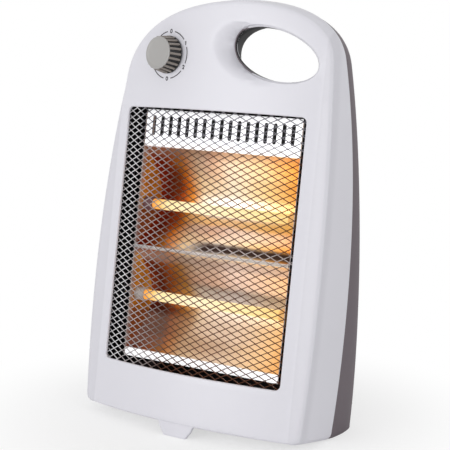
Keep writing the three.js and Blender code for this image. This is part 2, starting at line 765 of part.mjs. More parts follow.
// A wire wound in an unbroken helix along x: eight steps a curl and five sides round.
function windHelix({ radius, wire, curls, length, leads }) {
  const stepsPerCurl = 8;
  const sidesRound = 5;
  const steps = Math.round(curls * stepsPerCurl);
  const centres = [];
  for (let i = 0; i <= steps; i += 1) {
    const turn = 2 * Math.PI * i / stepsPerCurl;
    centres.push({ x: length * (i / steps - 0.5), turn, radius });
  }
  if (leads) {
    const first = centres[0];
    const last = centres[steps];
    centres.unshift({ x: first.x - 2 * wire, turn: first.turn, radius: 0 });
    centres.unshift({ x: first.x - 3 * wire, turn: first.turn, radius: 0 });
    centres.push({ x: last.x + 2 * wire, turn: last.turn, radius: 0 });
    centres.push({ x: last.x + 3 * wire, turn: last.turn, radius: 0 });
  }
  const points = centres.map(({ x, turn, radius: reach }) => (
    new THREE.Vector3(x, reach * Math.cos(turn), reach * Math.sin(turn))));
  const rings = points.map((point, i) => {
    const before = points[Math.max(i - 1, 0)];
    const after = points[Math.min(i + 1, points.length - 1)];
    const tangent = after.clone().sub(before).normalize();
    const { turn } = centres[i];
    const outward = new THREE.Vector3(0, Math.cos(turn), Math.sin(turn));
    outward.addScaledVector(tangent, -outward.dot(tangent)).normalize();
    const across = tangent.clone().cross(outward);
    return Array.from({ length: sidesRound }, (_, k) => {
      const angle = 2 * Math.PI * k / sidesRound;
      return point.clone()
        .addScaledVector(outward, wire / 2 * Math.cos(angle))
        .addScaledVector(across, wire / 2 * Math.sin(angle));
    });
  });
  const positions = [];
  const face = (...corners) => corners.forEach((corner) => positions.push(...corner.toArray()));
  rings.slice(1).forEach((ring, i) => {
    ring.forEach((corner, k) => {
      const next = (k + 1) % sidesRound;
      face(rings[i][k], rings[i][next], ring[next], rings[i][k], ring[next], corner);
    });
  });
  const first = rings[0];
  const last = rings[rings.length - 1];
  for (let k = 1; k + 1 < sidesRound; k += 1) {
    face(first[0], first[k + 1], first[k], last[0], last[k], last[k + 1]);
  }
  let leastGap = Infinity;
  points.forEach((point, i) => points.slice(i + stepsPerCurl / 2).forEach((other) => {
    leastGap = Math.min(leastGap, point.distanceTo(other) - wire);
  }));
  const geometry = new THREE.BufferGeometry();
  geometry.setAttribute('position', new THREE.Float32BufferAttribute(positions, 3));
  return { body: solid(geometry), leastGap };
}

// ---- Dial -----------------------------------------------------------------------------------
function makeKnob() {
  const samples = 3 * knobFlutes;
  const rim = Array.from({ length: samples }, (_, i) => {
    const angle = 2 * Math.PI * i / samples;
    const radius = knobRadius - (i % 3 === 0 ? fluteDepth : 0);
    return new THREE.Vector2(radius * Math.cos(angle), radius * Math.sin(angle));
  });
  const outer = -knobClearance - knobHeight;
  const bevel = 1;
  const profile = [
    [0, outer], [knobFaceRadius - bevel, outer], [knobFaceRadius, outer + bevel],
    [knobRadius + 0.2, -knobClearance - 3], [knobRadius + 0.2, -knobClearance], [0, -knobClearance],
  ].map(([radius, y]) => new THREE.Vector2(radius, y));
  const turned = solid(new THREE.LatheGeometry(profile, 24));
  const fluted = solid(plateAlongY(new THREE.Shape(rim), outer - 1, 0));
  return cut(turned.intersect(fluted),
    barAlongY(shaftRadius + fitGap, outer + 3, 1, 0, 0, 16),
    plateAlongY(ringSection(knobFaceRadius - 2.5, shaftRadius + 3), outer + 3, 1, 12));
}

function makeShaft() {
  const outer = -knobClearance - knobHeight + 3 + fitGap;
  return cut(solid(barAlongY(shaftRadius, outer, wall + 8, 0, 0, 16)),
    block(-4, 4, outer - 1, -knobClearance, shaftRadius - 1, shaftRadius + 2));
}

function makeRotarySwitch() {
  const front = wall + 2 * fitGap;
  const back = front + switchDepth;
  const terminals = [-8, 0, 8].map((x) => block(x - 2.4, x + 2.4, back - 1, back + 7, -5.4, -4.6));
  const body = join(
    barAlongY(switchRadius, front, back, 0, 0, 28),
    block(-switchRadius - 3, switchRadius + 3, front, front + 2, -4, 4),
    ...terminals);
  return cut(body, barAlongY(shaftRadius + fitGap, front - 1, wall + 8 + fitGap, 0, 0, 16));
}

// ---- Fasteners ------------------------------------------------------------------------------
// A pan-head screw that points along y from its seat, with y = 0 under the head.
function makeScrew(length) {
  const tip = 3;
  const profile = [
    [0, -screwHeadHeight], [screwHeadRadius * 0.75, -screwHeadHeight],
    [screwHeadRadius, -screwHeadHeight * 0.4], [screwHeadRadius, 0],
    [screwRadius, 0], [screwRadius, length - tip], [0, length],
  ].map(([radius, y]) => new THREE.Vector2(radius, y));
  return solid(new THREE.LatheGeometry(profile, bossSides));
}

// ---- Inside the base ------------------------------------------------------------------------
const collarBottom = wall + plungerTravel + fitGap;
const springBottom = collarBottom + collarThickness + fitGap;
const bracketTop = springBottom + springLength + fitGap;
const switchBottom = bracketTop + sheet + fitGap;
const stemTop = bracketTop + plungerTravel + 2;

function makePlunger() {
  const collarTop = collarBottom + collarThickness;
  const profile = [
    [0, fitGap], [plungerRadius - 0.6, fitGap], [plungerRadius, fitGap + 0.8],
    [plungerRadius, collarBottom], [collarRadius, collarBottom], [collarRadius, collarTop],
    [stemRadius, collarTop], [stemRadius, stemTop], [0, stemTop],
  ].map(([radius, z]) => new THREE.Vector2(radius, z));
  return solid(new THREE.LatheGeometry(profile, 20).rotateX(Math.PI / 2));
}

function makePlungerBracket() {
  const reach = collarRadius + 5;
  const halfDepth = 6;
  const floor = wall + fitGap;
  const leg = join(
    block(reach, reach + sheet, -halfDepth, halfDepth, floor, bracketTop + sheet),
    block(reach, reach + 8, -halfDepth, halfDepth, floor, floor + sheet));
  const bridge = solid(block(-reach, reach, -halfDepth, halfDepth, bracketTop, bracketTop + sheet));
  return cut(bridge.add(leg).add(leg.mirror([1, 0, 0])),
    barAlongZ(stemRadius + 0.5, bracketTop - 2, bracketTop + 2));
}

function makeTipSwitch() {
  const height = 15;
  const blade = switchBottom + 9;
  const terminals = [-8, 0, 8].map((x) => block(x - 1.6, x + 1.6, 4, 10, blade, blade + sheet));
  const body = join(block(-13, 13, -5, 5, switchBottom, switchBottom + height), ...terminals);
  return cut(body, barAlongZ(stemRadius + 0.5, switchBottom - 1, stemTop + fitGap, 0, 0, 16));
}

function makeTerminalBlock() {
  const cells = 3;
  const pitch = 11;
  const floor = wall + fitGap;
  let body = solid(block(-cells * pitch / 2, cells * pitch / 2, -8, 8, floor, floor + 12));
  for (let i = 0; i < cells; i += 1) {
    const x = (i - (cells - 1) / 2) * pitch;
    body = cut(body,
      block(x - 3, x + 3, -9, 9, floor + 5, floor + 9),
      barAlongZ(2, floor + 4, floor + 13, x, -4, boreSides),
      barAlongZ(2, floor + 4, floor + 13, x, 4, boreSides));
  }
  return body;
}

function makeCutout() {
  const front = shieldDepth + sheet + fitGap;
  return join(
    barAlongY(8, front, front + 3, 0, 0, 24),
    barAlongY(6.5, front + 2, front + 8, 0, 0, 24),
    block(-12, 12, front, front + sheet, -4, 4),
    block(-4, -3.2, front + 7, front + 12, -1.6, 1.6),
    block(3.2, 4, front + 7, front + 12, -1.6, 1.6));
}

// Where the back of the rear shell stands at a given height above the floor.
function backAtFloorHeight(height) {
  let depth = backDepthBase;
  let up = 0;
  for (let i = 0; i < 6; i += 1) {
    up = (height - footDrop + depth * Math.sin(leanAngle)) / Math.cos(leanAngle);
    depth = backDepth(up);
  }
  return depth * Math.cos(leanAngle) + up * Math.sin(leanAngle);
}

function makeInletBush() {
  const face = backAtFloorHeight(inletHeight);
  const collar = inletRadius + 2.5;
  const bush = join(
    barAlongY(inletRadius, face - 8, face + 1, inletX, inletHeight),
    barAlongY(collar, face + 0.8, face + 2.8, inletX, inletHeight, roundSides, collar - 1));
  return cut(bush, barAlongY(inletBore, face - 10, face + 5, inletX, inletHeight));
}

// ---- Assembly -------------------------------------------------------------------------------
addPart(panel, 'front_shell', makeFrontShell(), 'white');
addPart(panel, 'rear_shell', makeRearShell(), 'plum');
addPart(panel, 'guard_mesh', makeGuard(), 'chrome');
addPart(panel, 'reflector', makeReflector(), 'mirror');
addPart(panel, 'heat_shield', makeHeatShield(), 'galvanised');

const coil = windHelix({
  radius: coilRadius,
  wire: coilWire,
  curls: coilCurls,
  length: 2 * (coilHalfLength - 2.5 * coilWire),
  leads: true,
});
console.log(`heating coil, least gap to itself: ${coil.leastGap.toFixed(2)} mm`);

Object.entries(sides).forEach(([sideName, side]) => {
  addPart(panel, `end_plate_${sideName}`, makeEndPlate(side), 'mirror');
  Object.entries(tubeHeights).forEach(([level, z]) => {
    addPart(panel, `end_cap_${level}_${sideName}`, makeCap(side, z), 'ceramic');
    addPart(panel, `terminal_pin_${level}_${sideName}`, makePin(side, z), 'brass');
  });
  frameScrewHeights.forEach((z, i) => {
    const name = `frame_screw_${i === 0 ? 'lower' : 'upper'}_${sideName}`;
    addPart(panel, name, makeScrew(screwGrip - 1), 'galvanised')
      .position.set(side * frameScrewX, endPlateBack - fitGap, z);
  });
});

Object.entries(tubeHeights).forEach(([level, z]) => {
  addPart(panel, `quartz_tube_${level}`, makeTube(z), 'quartz');
  addPart(panel, `heating_coil_${level}`, coil.body, 'hotWire').position.set(0, tubeDepth, z);
});

shellScrews.forEach(([x, z], i) => {
  const screw = addPart(panel, `shell_screw_${i + 1}`, makeScrew(screwGrip + 1), 'galvanised');
  screw.rotation.z = Math.PI;
  screw.position.set(x, seamDepth(z) + wellFloor + fitGap, z);
});

addPart(panel, 'thermal_cutout', makeCutout(), 'phenolic').position.set(36, 0, upperTroughTop - 30);

addPart(dial, 'control_knob', makeKnob(), 'dial');
addPart(dial, 'switch_shaft', makeShaft(), 'galvanised');
addPart(dial, 'rotary_switch', makeRotarySwitch(), 'phenolic');

const tipSwitch = new THREE.Group();
tipSwitch.position.set(plungerX, plungerY, 0);
heater.add(tipSwitch);
const spring = windHelix({
  radius: collarRadius - 1.6,
  wire: springWire,
  curls: springCurls,
  length: springLength - springWire,
  leads: false,
});
console.log(`tip-over spring, least gap to itself: ${spring.leastGap.toFixed(2)} mm`);
addPart(tipSwitch, 'tip_over_plunger', makePlunger(), 'white');
addPart(tipSwitch, 'tip_over_bracket', makePlungerBracket(), 'galvanised');
addPart(tipSwitch, 'tip_over_switch', makeTipSwitch(), 'phenolic');
const springPart = addPart(tipSwitch, 'tip_over_spring', spring.body, 'galvanised');
springPart.rotation.y = -Math.PI / 2;
springPart.position.z = springBottom + springLength / 2;

addPart(heater, 'terminal_block', makeTerminalBlock(), 'ceramic').position.set(-28, plungerY, 0);
addPart(heater, 'cord_inlet_bush', makeInletBush(), 'rubber');

// The origin is the centre of the heater's outer box, on the floor.
heater.updateMatrixWorld(true);
const centre = new THREE.Box3().setFromObject(heater, true).getCenter(new THREE.Vector3());
heater.children.forEach((child) => child.position.sub(new THREE.Vector3(centre.x, centre.y, 0)));

export default heater;
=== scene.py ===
import json
import math

import bmesh
import bpy
from mathutils import Matrix, Vector
from mathutils.geometry import delaunay_2d_cdt
from mathutils.kdtree import KDTree

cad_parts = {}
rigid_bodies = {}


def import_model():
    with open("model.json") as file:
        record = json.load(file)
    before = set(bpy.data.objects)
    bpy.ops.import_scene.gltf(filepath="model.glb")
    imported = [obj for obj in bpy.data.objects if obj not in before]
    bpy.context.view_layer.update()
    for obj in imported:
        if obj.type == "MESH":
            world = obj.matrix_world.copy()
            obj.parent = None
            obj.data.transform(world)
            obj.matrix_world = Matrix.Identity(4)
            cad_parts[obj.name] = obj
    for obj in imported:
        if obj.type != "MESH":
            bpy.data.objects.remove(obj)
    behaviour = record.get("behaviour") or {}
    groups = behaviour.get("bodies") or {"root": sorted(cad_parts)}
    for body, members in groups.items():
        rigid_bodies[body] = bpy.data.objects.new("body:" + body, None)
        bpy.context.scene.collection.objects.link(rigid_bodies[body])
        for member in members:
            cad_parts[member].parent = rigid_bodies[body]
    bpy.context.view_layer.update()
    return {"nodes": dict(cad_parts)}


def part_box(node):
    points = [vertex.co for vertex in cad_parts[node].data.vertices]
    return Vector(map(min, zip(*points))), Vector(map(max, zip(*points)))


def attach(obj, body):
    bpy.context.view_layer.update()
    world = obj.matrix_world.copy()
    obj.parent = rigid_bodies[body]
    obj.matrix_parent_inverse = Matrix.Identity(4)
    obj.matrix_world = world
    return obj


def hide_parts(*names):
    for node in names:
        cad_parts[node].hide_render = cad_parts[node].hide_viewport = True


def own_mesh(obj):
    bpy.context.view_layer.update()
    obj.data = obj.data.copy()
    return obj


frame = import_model()

# Lengths are in millimetres in the heater's leaning panel frame: x across, depth into the
# heater and height up the front. place() turns them into metres in the CAD frame.
panel = {"lean": 10, "shiftX": 0.1111, "shiftY": -64.407, "lift": 12.5027}
housing = {
    "halfWidth": 130, "height": 397, "crown": 25, "corner": 10, "wall": 2.5, "gap": 0.3,
    "faceRadius": 340, "crease": 111, "bandDrop": 1.7, "ridgeInset": 3, "ridgeDrop": 2.4,
    "seamBase": 72, "seamTop": 22, "backBase": 127, "backTop": 47, "backBulge": 8.7,
}
window = {"halfWidth": 99.75, "bottom": 46.5, "top": 292, "corner": 5, "roundOver": 1.1}
grip = {
    "x": 61.2, "height": 346.5, "halfLength": 44.4, "halfWidth": 22.5, "tilt": -14,
    "scoopRim": 1.2, "scoopDepth": 13, "scoopReach": 15, "scoopLeast": 4, "scoopFrom": 196,
    "round": 1.8, "lip": 2.2, "flare": 10, "flareShift": 12, "flareStart": 16, "flareDepth": 57,
}
print("frame loaded:", len(frame["nodes"]), "nodes")


def place(x, depth, height):
    lean = math.radians(panel["lean"])
    return Vector((
        x + panel["shiftX"],
        depth * math.cos(lean) + height * math.sin(lean) + panel["shiftY"],
        height * math.cos(lean) - depth * math.sin(lean) + panel["lift"],
    )) / 1000


def floorHeight(depth, above=0):
    # the height on the leaning panel at which a depth meets the floor, or a level above it
    lean = math.radians(panel["lean"])
    return (above - panel["lift"] + depth * math.sin(lean)) / math.cos(lean)


def faceDepth(x):
    crease = housing["crease"]
    inner = min(abs(x), crease)
    radius = housing["faceRadius"]
    bandWidth = housing["halfWidth"] - housing["ridgeInset"] - crease
    past = max(0, abs(x) - crease) / bandWidth
    return radius - math.sqrt(radius ** 2 - inner ** 2) + housing["bandDrop"] * past


def seamDepth(height):
    rise = max(0, height) / housing["height"]
    return housing["seamBase"] - (housing["seamBase"] - housing["seamTop"]) * rise ** 3


def backDepth(height):
    rise = height / housing["height"]
    straight = housing["backBase"] + (housing["backTop"] - housing["backBase"]) * rise
    return straight + 4 * housing["backBulge"] * rise * (1 - rise)


def bezier(points, count):
    a, b, c, d = [Vector(point) for point in points]
    shares = [i / count for i in range(count + 1)]
    return [a * (1 - t) ** 3 + b * 3 * t * (1 - t) ** 2 + c * 3 * t * t * (1 - t) + d * t ** 3
            for t in shares]


def evenly(points, step, closed=True):
    ends = points + points[:1] if closed else points
    lengths = [0]
    for a, b in zip(ends, ends[1:]):
        lengths.append(lengths[-1] + (b - a).length)
    count = max(3, round(lengths[-1] / step))
    result, k = [], 0
    for i in range(count if closed else count + 1):
        target = lengths[-1] * i / count
        while k + 2 < len(lengths) and lengths[k + 1] < target:
            k += 1
        span = lengths[k + 1] - lengths[k]
        share = (target - lengths[k]) / span if span else 0
        result.append(ends[k].lerp(ends[k + 1], share))
    return result


def outlineSide(side, flank, shoulder):
    start = housing["halfWidth"] - housing["corner"] - 3
    bend = Vector((side * (start + housing["corner"]), 0))
    low, high = Vector((side * start, 0)), Vector((side * flank[0][0], flank[0][1]))
    corner = [low, low.lerp(bend, 2 / 3), high.lerp(bend, 2 / 3), high]
    flank = [Vector((side * x, z)) for x, z in flank]
    shoulder = [flank[3]] + [Vector((side * x, z)) for x, z in shoulder]
    return bezier(corner, 8)[:-1] + bezier(flank, 48)[:-1] + bezier(shoulder, 48)


def housingOutline(step=3.4):
    w, h, crown = housing["halfWidth"], housing["height"], housing["crown"]
    left = outlineSide(-1, [(w - 3.5, 10), (w + 3, 100), (w + 3, 215), (w - 18, h - 75)],
                       [(w - 22, h - 29), (50, h - 3), (-crown, h)])
    right = outlineSide(1, [(w - 3.5, 10), (w + 3, 100), (w + 0.5, 250), (w - 9, h - 49)],
                        [(w - 13, h - 14), (76, h), (crown, h)])
    return evenly(right[:-1] + left[::-1], step)


def shrink(point, inset, lift=0):
    w, h = housing["halfWidth"], housing["height"]
    return Vector((point.x * (w - inset) / w, lift + point.y * (h - inset - lift) / h))


def offsetLoop(loop, distance):
    result = []
    for i, point in enumerate(loop):
        run = (loop[(i + 1) % len(loop)] - loop[i - 1]).normalized()
        result.append(point + Vector((run.y, -run.x)) * distance)
    return result


def roundedLoop(xLow, xHigh, low, high, radius, step=3, cornerSteps=6):
    loop = []
    corners = [(xHigh - radius, low + radius, -90), (xHigh - radius, high - radius, 0),
               (xLow + radius, high - radius, 90), (xLow + radius, low + radius, 180)]
    for i, (x, z, start) in enumerate(corners):
        for k in range(cornerSteps + 1):
            angle = math.radians(start + 90 * k / cornerSteps)
            loop.append(Vector((x + radius * math.cos(angle), z + radius * math.sin(angle))))
        nextX, nextZ, _ = corners[(i + 1) % 4]
        angle = math.radians(start + 90)
        end = Vector((nextX + radius * math.cos(angle), nextZ + radius * math.sin(angle)))
        pieces = max(1, round((end - loop[-1]).length / step))
        base = loop[-1].copy()
        loop += [base.lerp(end, k / pieces) for k in range(1, pieces)]
    return loop


def gripLoop(grow=0, count=96):
    tilt = math.radians(grip["tilt"])
    result = []
    for i in range(count):
        turn = 2 * math.pi * i / count
        along = (grip["halfLength"] + grow) * math.cos(turn)
        across = (grip["halfWidth"] + grow) * math.sin(turn)
        result.append(Vector((
            grip["x"] + along * math.cos(tilt) - across * math.sin(tilt),
            grip["height"] + along * math.sin(tilt) + across * math.cos(tilt))))
    return result


def circleLoop(x, z, radius, count=24):
    return [Vector((x + radius * math.cos(2 * math.pi * i / count),
                    z + radius * math.sin(2 * math.pi * i / count))) for i in range(count)]


def inside(point, loop):
    hit = False
    for a, b in zip(loop, loop[1:] + loop[:1]):
        if (a.y > point.y) != (b.y > point.y):
            if point.x < a.x + (point.y - a.y) * (b.x - a.x) / (b.y - a.y):
                hit = not hit
    return hit


def sunk(loop, depth):
    # a loop's points at one depth, or each at depth(point)
    return [(p.x, depth(p) if callable(depth) else depth, p.y) for p in loop]


def triangulate(loops, spacing, lines=(), clearance=0.62):
    # triangles between the first loop and the others, with a lattice of points between them
    points, edges = [], []
    for loop in loops:
        first = len(points)
        points += loop
        edges += [(first + i, first + (i + 1) % len(loop)) for i in range(len(loop))]
    for line in lines:
        first = len(points)
        points += line[1:-1]
        chain = [points.index(line[0]), *range(first, len(points)), points.index(line[-1])]
        edges += list(zip(chain, chain[1:]))
    tree = KDTree(len(points))
    for i, point in enumerate(points):
        tree.insert((point.x, point.y, 0), i)
    tree.balance()
    low = Vector([min(p[k] for p in loops[0]) for k in (0, 1)])
    high = Vector([max(p[k] for p in loops[0]) for k in (0, 1)])
    rows = int((high.y - low.y) / (spacing * 0.87))
    for row in range(1, rows + 1):
        for column in range(int((high.x - low.x) / spacing) + 1):
            point = Vector((low.x + (column + row % 2 / 2) * spacing, low.y + row * spacing * 0.87))
            if tree.find((point.x, point.y, 0))[2] < spacing * clearance:
                continue
            if inside(point, loops[0]) and not any(near(point, loop) for loop in loops[1:]):
                points.append(point)
    found, _, triangles, sources, _, _ = delaunay_2d_cdt(points, edges, [], 0, 1e-5)
    names = [source[0] if source else None for source in sources]
    for i, name in enumerate(names):
        if name is None:
            names[i] = len(points)
            points.append(found[i])
    kept = []
    for triangle in triangles:
        middle = sum((found[i] for i in triangle), Vector((0, 0))) / 3
        if inside(middle, loops[0]) and not any(near(middle, loop) for loop in loops[1:]):
            kept.append([names[i] for i in triangle])
    return points, kept


def near(point, loop):
    # inside a hole's loop, with a quick test of its box first
    if not min(p.x for p in loop) <= point.x <= max(p.x for p in loop):
        return False
    if not min(p.y for p in loop) <= point.y <= max(p.y for p in loop):
        return False
    return inside(point, loop)


class Skin:
    # collects the points and faces of one mesh, in panel millimetres
    def __init__(self):
        self.points, self.faces = [], []
        self.hidden, self.tone = set(), 1  # faces that take another of the piece's finishes

    def ring(self, coordinates):
        start = len(self.points)
        self.points += [tuple(point) for point in coordinates]
        return list(range(start, len(self.points)))

    def bridge(self, first, second, closed=True):
        count = len(first)
        for i in range(count if closed else count - 1):
            k = (i + 1) % count
            self.faces.append((first[i], first[k], second[k], second[i]))

    def rings(self, loops):
        made = [self.ring(loop) for loop in loops]
        for a, b in zip(made, made[1:]):
            self.bridge(a, b)
        return made

    def cap(self, ring, flip=False):
        self.faces.append(tuple(ring[::-1] if flip else ring))

    def build(self, name, angle=32, keep=None, convert=place):
        mesh = bpy.data.meshes.new(name)
        mesh.from_pydata([convert(*point) for point in self.points], [], self.faces)
        for i in self.hidden:
            mesh.polygons[i].material_index = self.tone
        body = bmesh.new()
        body.from_mesh(mesh)
        bmesh.ops.remove_doubles(body, verts=body.verts, dist=1e-6)
        if keep is not None:
            geometry = body.verts[:] + body.edges[:] + body.faces[:]
            cut = bmesh.ops.bisect_plane(body, geom=geometry, plane_co=(0, 0, keep),
                                         plane_no=(0, 0, 1), clear_inner=True)
            edges = [e for e in cut["geom_cut"] if isinstance(e, bmesh.types.BMEdge)]
            bmesh.ops.triangle_fill(body, edges=edges, use_beauty=True)
        bmesh.ops.recalc_face_normals(body, faces=body.faces)
        body.to_mesh(mesh)
        body.free()
        mesh.shade_smooth()
        mesh.set_sharp_from_angle(angle=math.radians(angle))
        piece = bpy.data.objects.new(name, mesh)
        bpy.context.collection.objects.link(piece)
        return piece


def plate(skin, loops, spacing, front, back, ringsOf, lines=(), hiddenFrom=99):
    # two faces with the same triangles, joined round each loop by that loop's own rings
    points, triangles = triangulate(loops, spacing, lines)
    outer, inner = skin.ring(sunk(points, front)), skin.ring(sunk(points, back))
    first = 0
    for k, loop in enumerate(loops):
        between = [skin.ring(ring) for ring in ringsOf(k)]
        chain = [outer[first:first + len(loop)], *between, inner[first:first + len(loop)]]
        for i, (a, b) in enumerate(zip(chain, chain[1:])):
            if k == 0 and i >= hiddenFrom:
                skin.hidden.update(range(len(skin.faces), len(skin.faces) + len(a)))
            skin.bridge(a, b)
        first += len(loop)
    # the inner face takes the piece's second finish, which is painted shade in both shells
    for a, b, c in triangles:
        skin.hidden.add(len(skin.faces) + 1)
        skin.faces += [(outer[a], outer[b], outer[c]), (inner[a], inner[c], inner[b])]
    return outer, inner


def finished(piece, names, nodes=(), body="housing"):
    # names: the piece's finish, then those of the faces that its Skin set apart
    names = names.split()
    tones = [min(polygon.material_index, len(names) - 1) for polygon in piece.data.polygons]
    piece.data.materials.clear()
    for name in names:
        piece.data.materials.append(finishes[name])
    piece.data.polygons.foreach_set("material_index", tones)
    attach(piece, body)
    if nodes:
        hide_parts(*nodes)
    return piece


def scoop(x, z):
    # how far the approach to the carrying hole sinks below the face
    tilt = math.radians(grip["tilt"])
    dx, dz = x - grip["x"], z - grip["height"]
    along = (dx * math.cos(tilt) + dz * math.sin(tilt)) / grip["halfLength"]
    across = (dz * math.cos(tilt) - dx * math.sin(tilt)) / grip["halfWidth"]
    turn = math.atan2(across, along)
    radius = math.hypot(grip["halfLength"] * math.cos(turn), grip["halfWidth"] * math.sin(turn))
    side = max(0, math.cos(turn - math.radians(grip["scoopFrom"]))) ** 1.5
    reach = grip["scoopLeast"] + grip["scoopReach"] * side
    share = min(1, max(0, (math.hypot(along, across) - 1) * radius / reach))
    return (grip["scoopRim"] + grip["scoopDepth"] * side) * (1 - share) ** 2 * (1 + 0.6 * share)


def frontDepth(point):
    return faceDepth(point.x) + scoop(point.x, point.y)


def roundOver(loop, radius, depthAt, direction=1, steps=3):
    # rings that turn a face's edge inwards, from an offset of radius to none
    rings = []
    for k in range(1, steps + 1):
        angle = math.pi / 2 * k / steps
        moved = offsetLoop(loop, radius * (1 - math.sin(angle)))
        rings.append([(q.x, depthAt(p) + direction * radius * (1 - math.cos(angle)), q.y)
                      for p, q in zip(loop, moved)])
    return rings


def makeFrontShell():
    outline = housingOutline()
    inset, rise, drop = housing["ridgeInset"], 4, housing["ridgeDrop"]
    wall = housing["wall"]
    face = [shrink(p, inset + rise, 2) for p in outline]
    crossings = []
    for side in (-1, 1):
        for low in (True, False):
            half = [i for i, p in enumerate(face) if (p.y < 150) == low and p.x * side > 0]
            k = min(half, key=lambda i: abs(face[i].x - side * housing["crease"])
                    + (50 if (face[i].y > 30) == low else 0))
            face[k] = Vector((side * housing["crease"], face[k].y))
            crossings.append(face[k])
    lines = []
    for bottom, top in (crossings[:2], crossings[2:]):
        count = round((top.y - bottom.y) / 3.4)
        lines.append([bottom.lerp(top, i / count) for i in range(count)] + [top])
    opening = roundedLoop(-window["halfWidth"], window["halfWidth"], window["bottom"],
                          window["top"], window["corner"])
    hole, hub = gripLoop(), circleLoop(dial["x"], dial["height"], dial["hub"])
    skin = Skin()

    def behind(point):
        return frontDepth(point) + wall

    def rimRings(index):
        if index == 1:
            rings = roundOver(opening, window["roundOver"], frontDepth)
            return rings + [sunk(opening, behind)]
        if index == 2:
            rings = roundOver(hole, grip["round"], frontDepth, steps=4)
            end = sunk(hole, lambda p: frontDepth(p) + grip["lip"])
            back = [(q.x, depth, q.y) for (_, depth, _), q in zip(end, gripLoop(1.5))]
            return rings + [end, back]
        if index == 3:
            return [sunk(hub, lambda p: faceDepth(p.x) + wall - 0.1)]
        rings = []
        for k in range(1, 6):
            angle = math.pi / 2 * k / 5
            ring = [shrink(p, inset + rise * (1 - math.sin(angle)), 2 * (1 - math.sin(angle)))
                    for p in outline]
            rings.append(sunk(ring, lambda p: faceDepth(p.x) + drop * (1 - math.cos(angle))))
        for k in range(1, 11):
            share = k / 10
            bulge = 0.7 * math.sin(math.pi * share)
            ring = [shrink(p, inset * (1 - share) - bulge) for p in outline]
            ridge = [faceDepth(shrink(p, inset).x) + drop for p in outline]
            rings.append([(p.x, d + (seamDepth(p.y) - 0.5 - d) * share, p.y)
                          for p, d in zip(ring, ridge)])
        for back, depth in ((0.4, 0), (wall, 0), (wall + 1, -12)):
            ring = [shrink(p, back, back if depth else back / 4) for p in outline]
            rings.append(sunk(ring, lambda p: seamDepth(p.y) + depth))
        inner = [shrink(p, inset + rise + wall, 2 + wall) for p in outline]
        return rings + [sunk(inner, lambda p: faceDepth(p.x) + wall + drop)]

    loops = [face, offsetLoop(opening, window["roundOver"]), offsetLoop(hole, grip["round"]),
             hub]
    # the rim's rings past the 17th are inside the shell, and take its painted shade
    plate(skin, loops, 4, frontDepth, behind, rimRings, lines, 17)
    return skin.build("frontShell", angle=24)


foot = {
    "root": 18, "tip": 11.5, "fillet": 5, "thickness": 3.2, "overlap": 3, "edge": 0.8,
    "tipHeight": -10.6, "tipRound": 1.6,
}


def makeFoot():
    # the fixed front foot: a tab that hangs from the lower edge and stands on the floor
    half, fillet, edge, tipRound = foot["root"], foot["fillet"], foot["edge"], foot["tipRound"]
    side = [Vector((half + fillet, foot["overlap"])), Vector((half + fillet, edge))]
    for k in range(1, 7):
        angle = math.pi / 2 * k / 7
        side.append(Vector((half + fillet * (1 - math.sin(angle)),
                            edge - fillet * (1 - math.cos(angle)))))
    side.append(Vector((half - 0.4, -fillet)))
    for k in range(5):
        angle = math.pi / 2 * k / 4
        side.append(Vector((foot["tip"] + tipRound * math.cos(angle),
                            foot["tipHeight"] - tipRound * math.sin(angle))))
    outline = [Vector((-p.x, p.y)) for p in side] + side[::-1]
    front = faceDepth(half + fillet) + 0.25
    rings = []
    for depth, grow in ((front, -0.7), (front + 0.2, -0.25), (front + 0.7, 0),
                        (front + foot["thickness"], 0)):
        rings.append([(p.x, depth, max(p.y, floorHeight(depth)))
                      for p in offsetLoop(outline, grow)])
    skin = Skin()
    plug(skin, rings)
    return skin.build("frontFoot", angle=40)


rear = {
    "inset": 18, "ventRows": 8, "ventPitch": 11, "ventHeight": 5, "ventLength": 68,
    "ventGap": 14, "ventBottom": 84, "upperRows": 3, "upperBottom": 252,
    "wells": [(-114, 30), (114, 30), (-114, 195), (114, 195), (-90, 322), (-5, 372)],
    "wellRadius": 3.7, "wellFloor": 4, "inlet": (-78, 43.3, 7.3), "plunger": (62.11, 32.59, 4.5),
}


def rearStart(height):
    return seamDepth(height) + housing["gap"]


def backOval(depth, grow):
    # the carrying hole's outline at a depth: it opens out to the left behind the lip
    share = max(0, (depth - grip["flareStart"]) / (grip["flareDepth"] - grip["flareStart"]))
    shift = Vector((-grip["flareShift"], -grip["flareShift"] / 4)) * share
    return [point + shift for point in gripLoop(grow + grip["flare"] * share, 72)]


def plug(skin, rings):
    made = skin.rings(rings)
    skin.cap(made[0])
    skin.cap(made[-1], flip=True)


def carve(body, name, skin, operation, convert=place):
    tool = skin.build(name, convert=convert)
    for _ in range(3):
        tool.data.materials.append(None)
        body.data.materials.append(None)
    change = body.modifiers.new(name, "BOOLEAN")
    change.operation, change.object, change.solver = operation, tool, "EXACT"
    applyAll(body)
    bpy.data.objects.remove(tool)


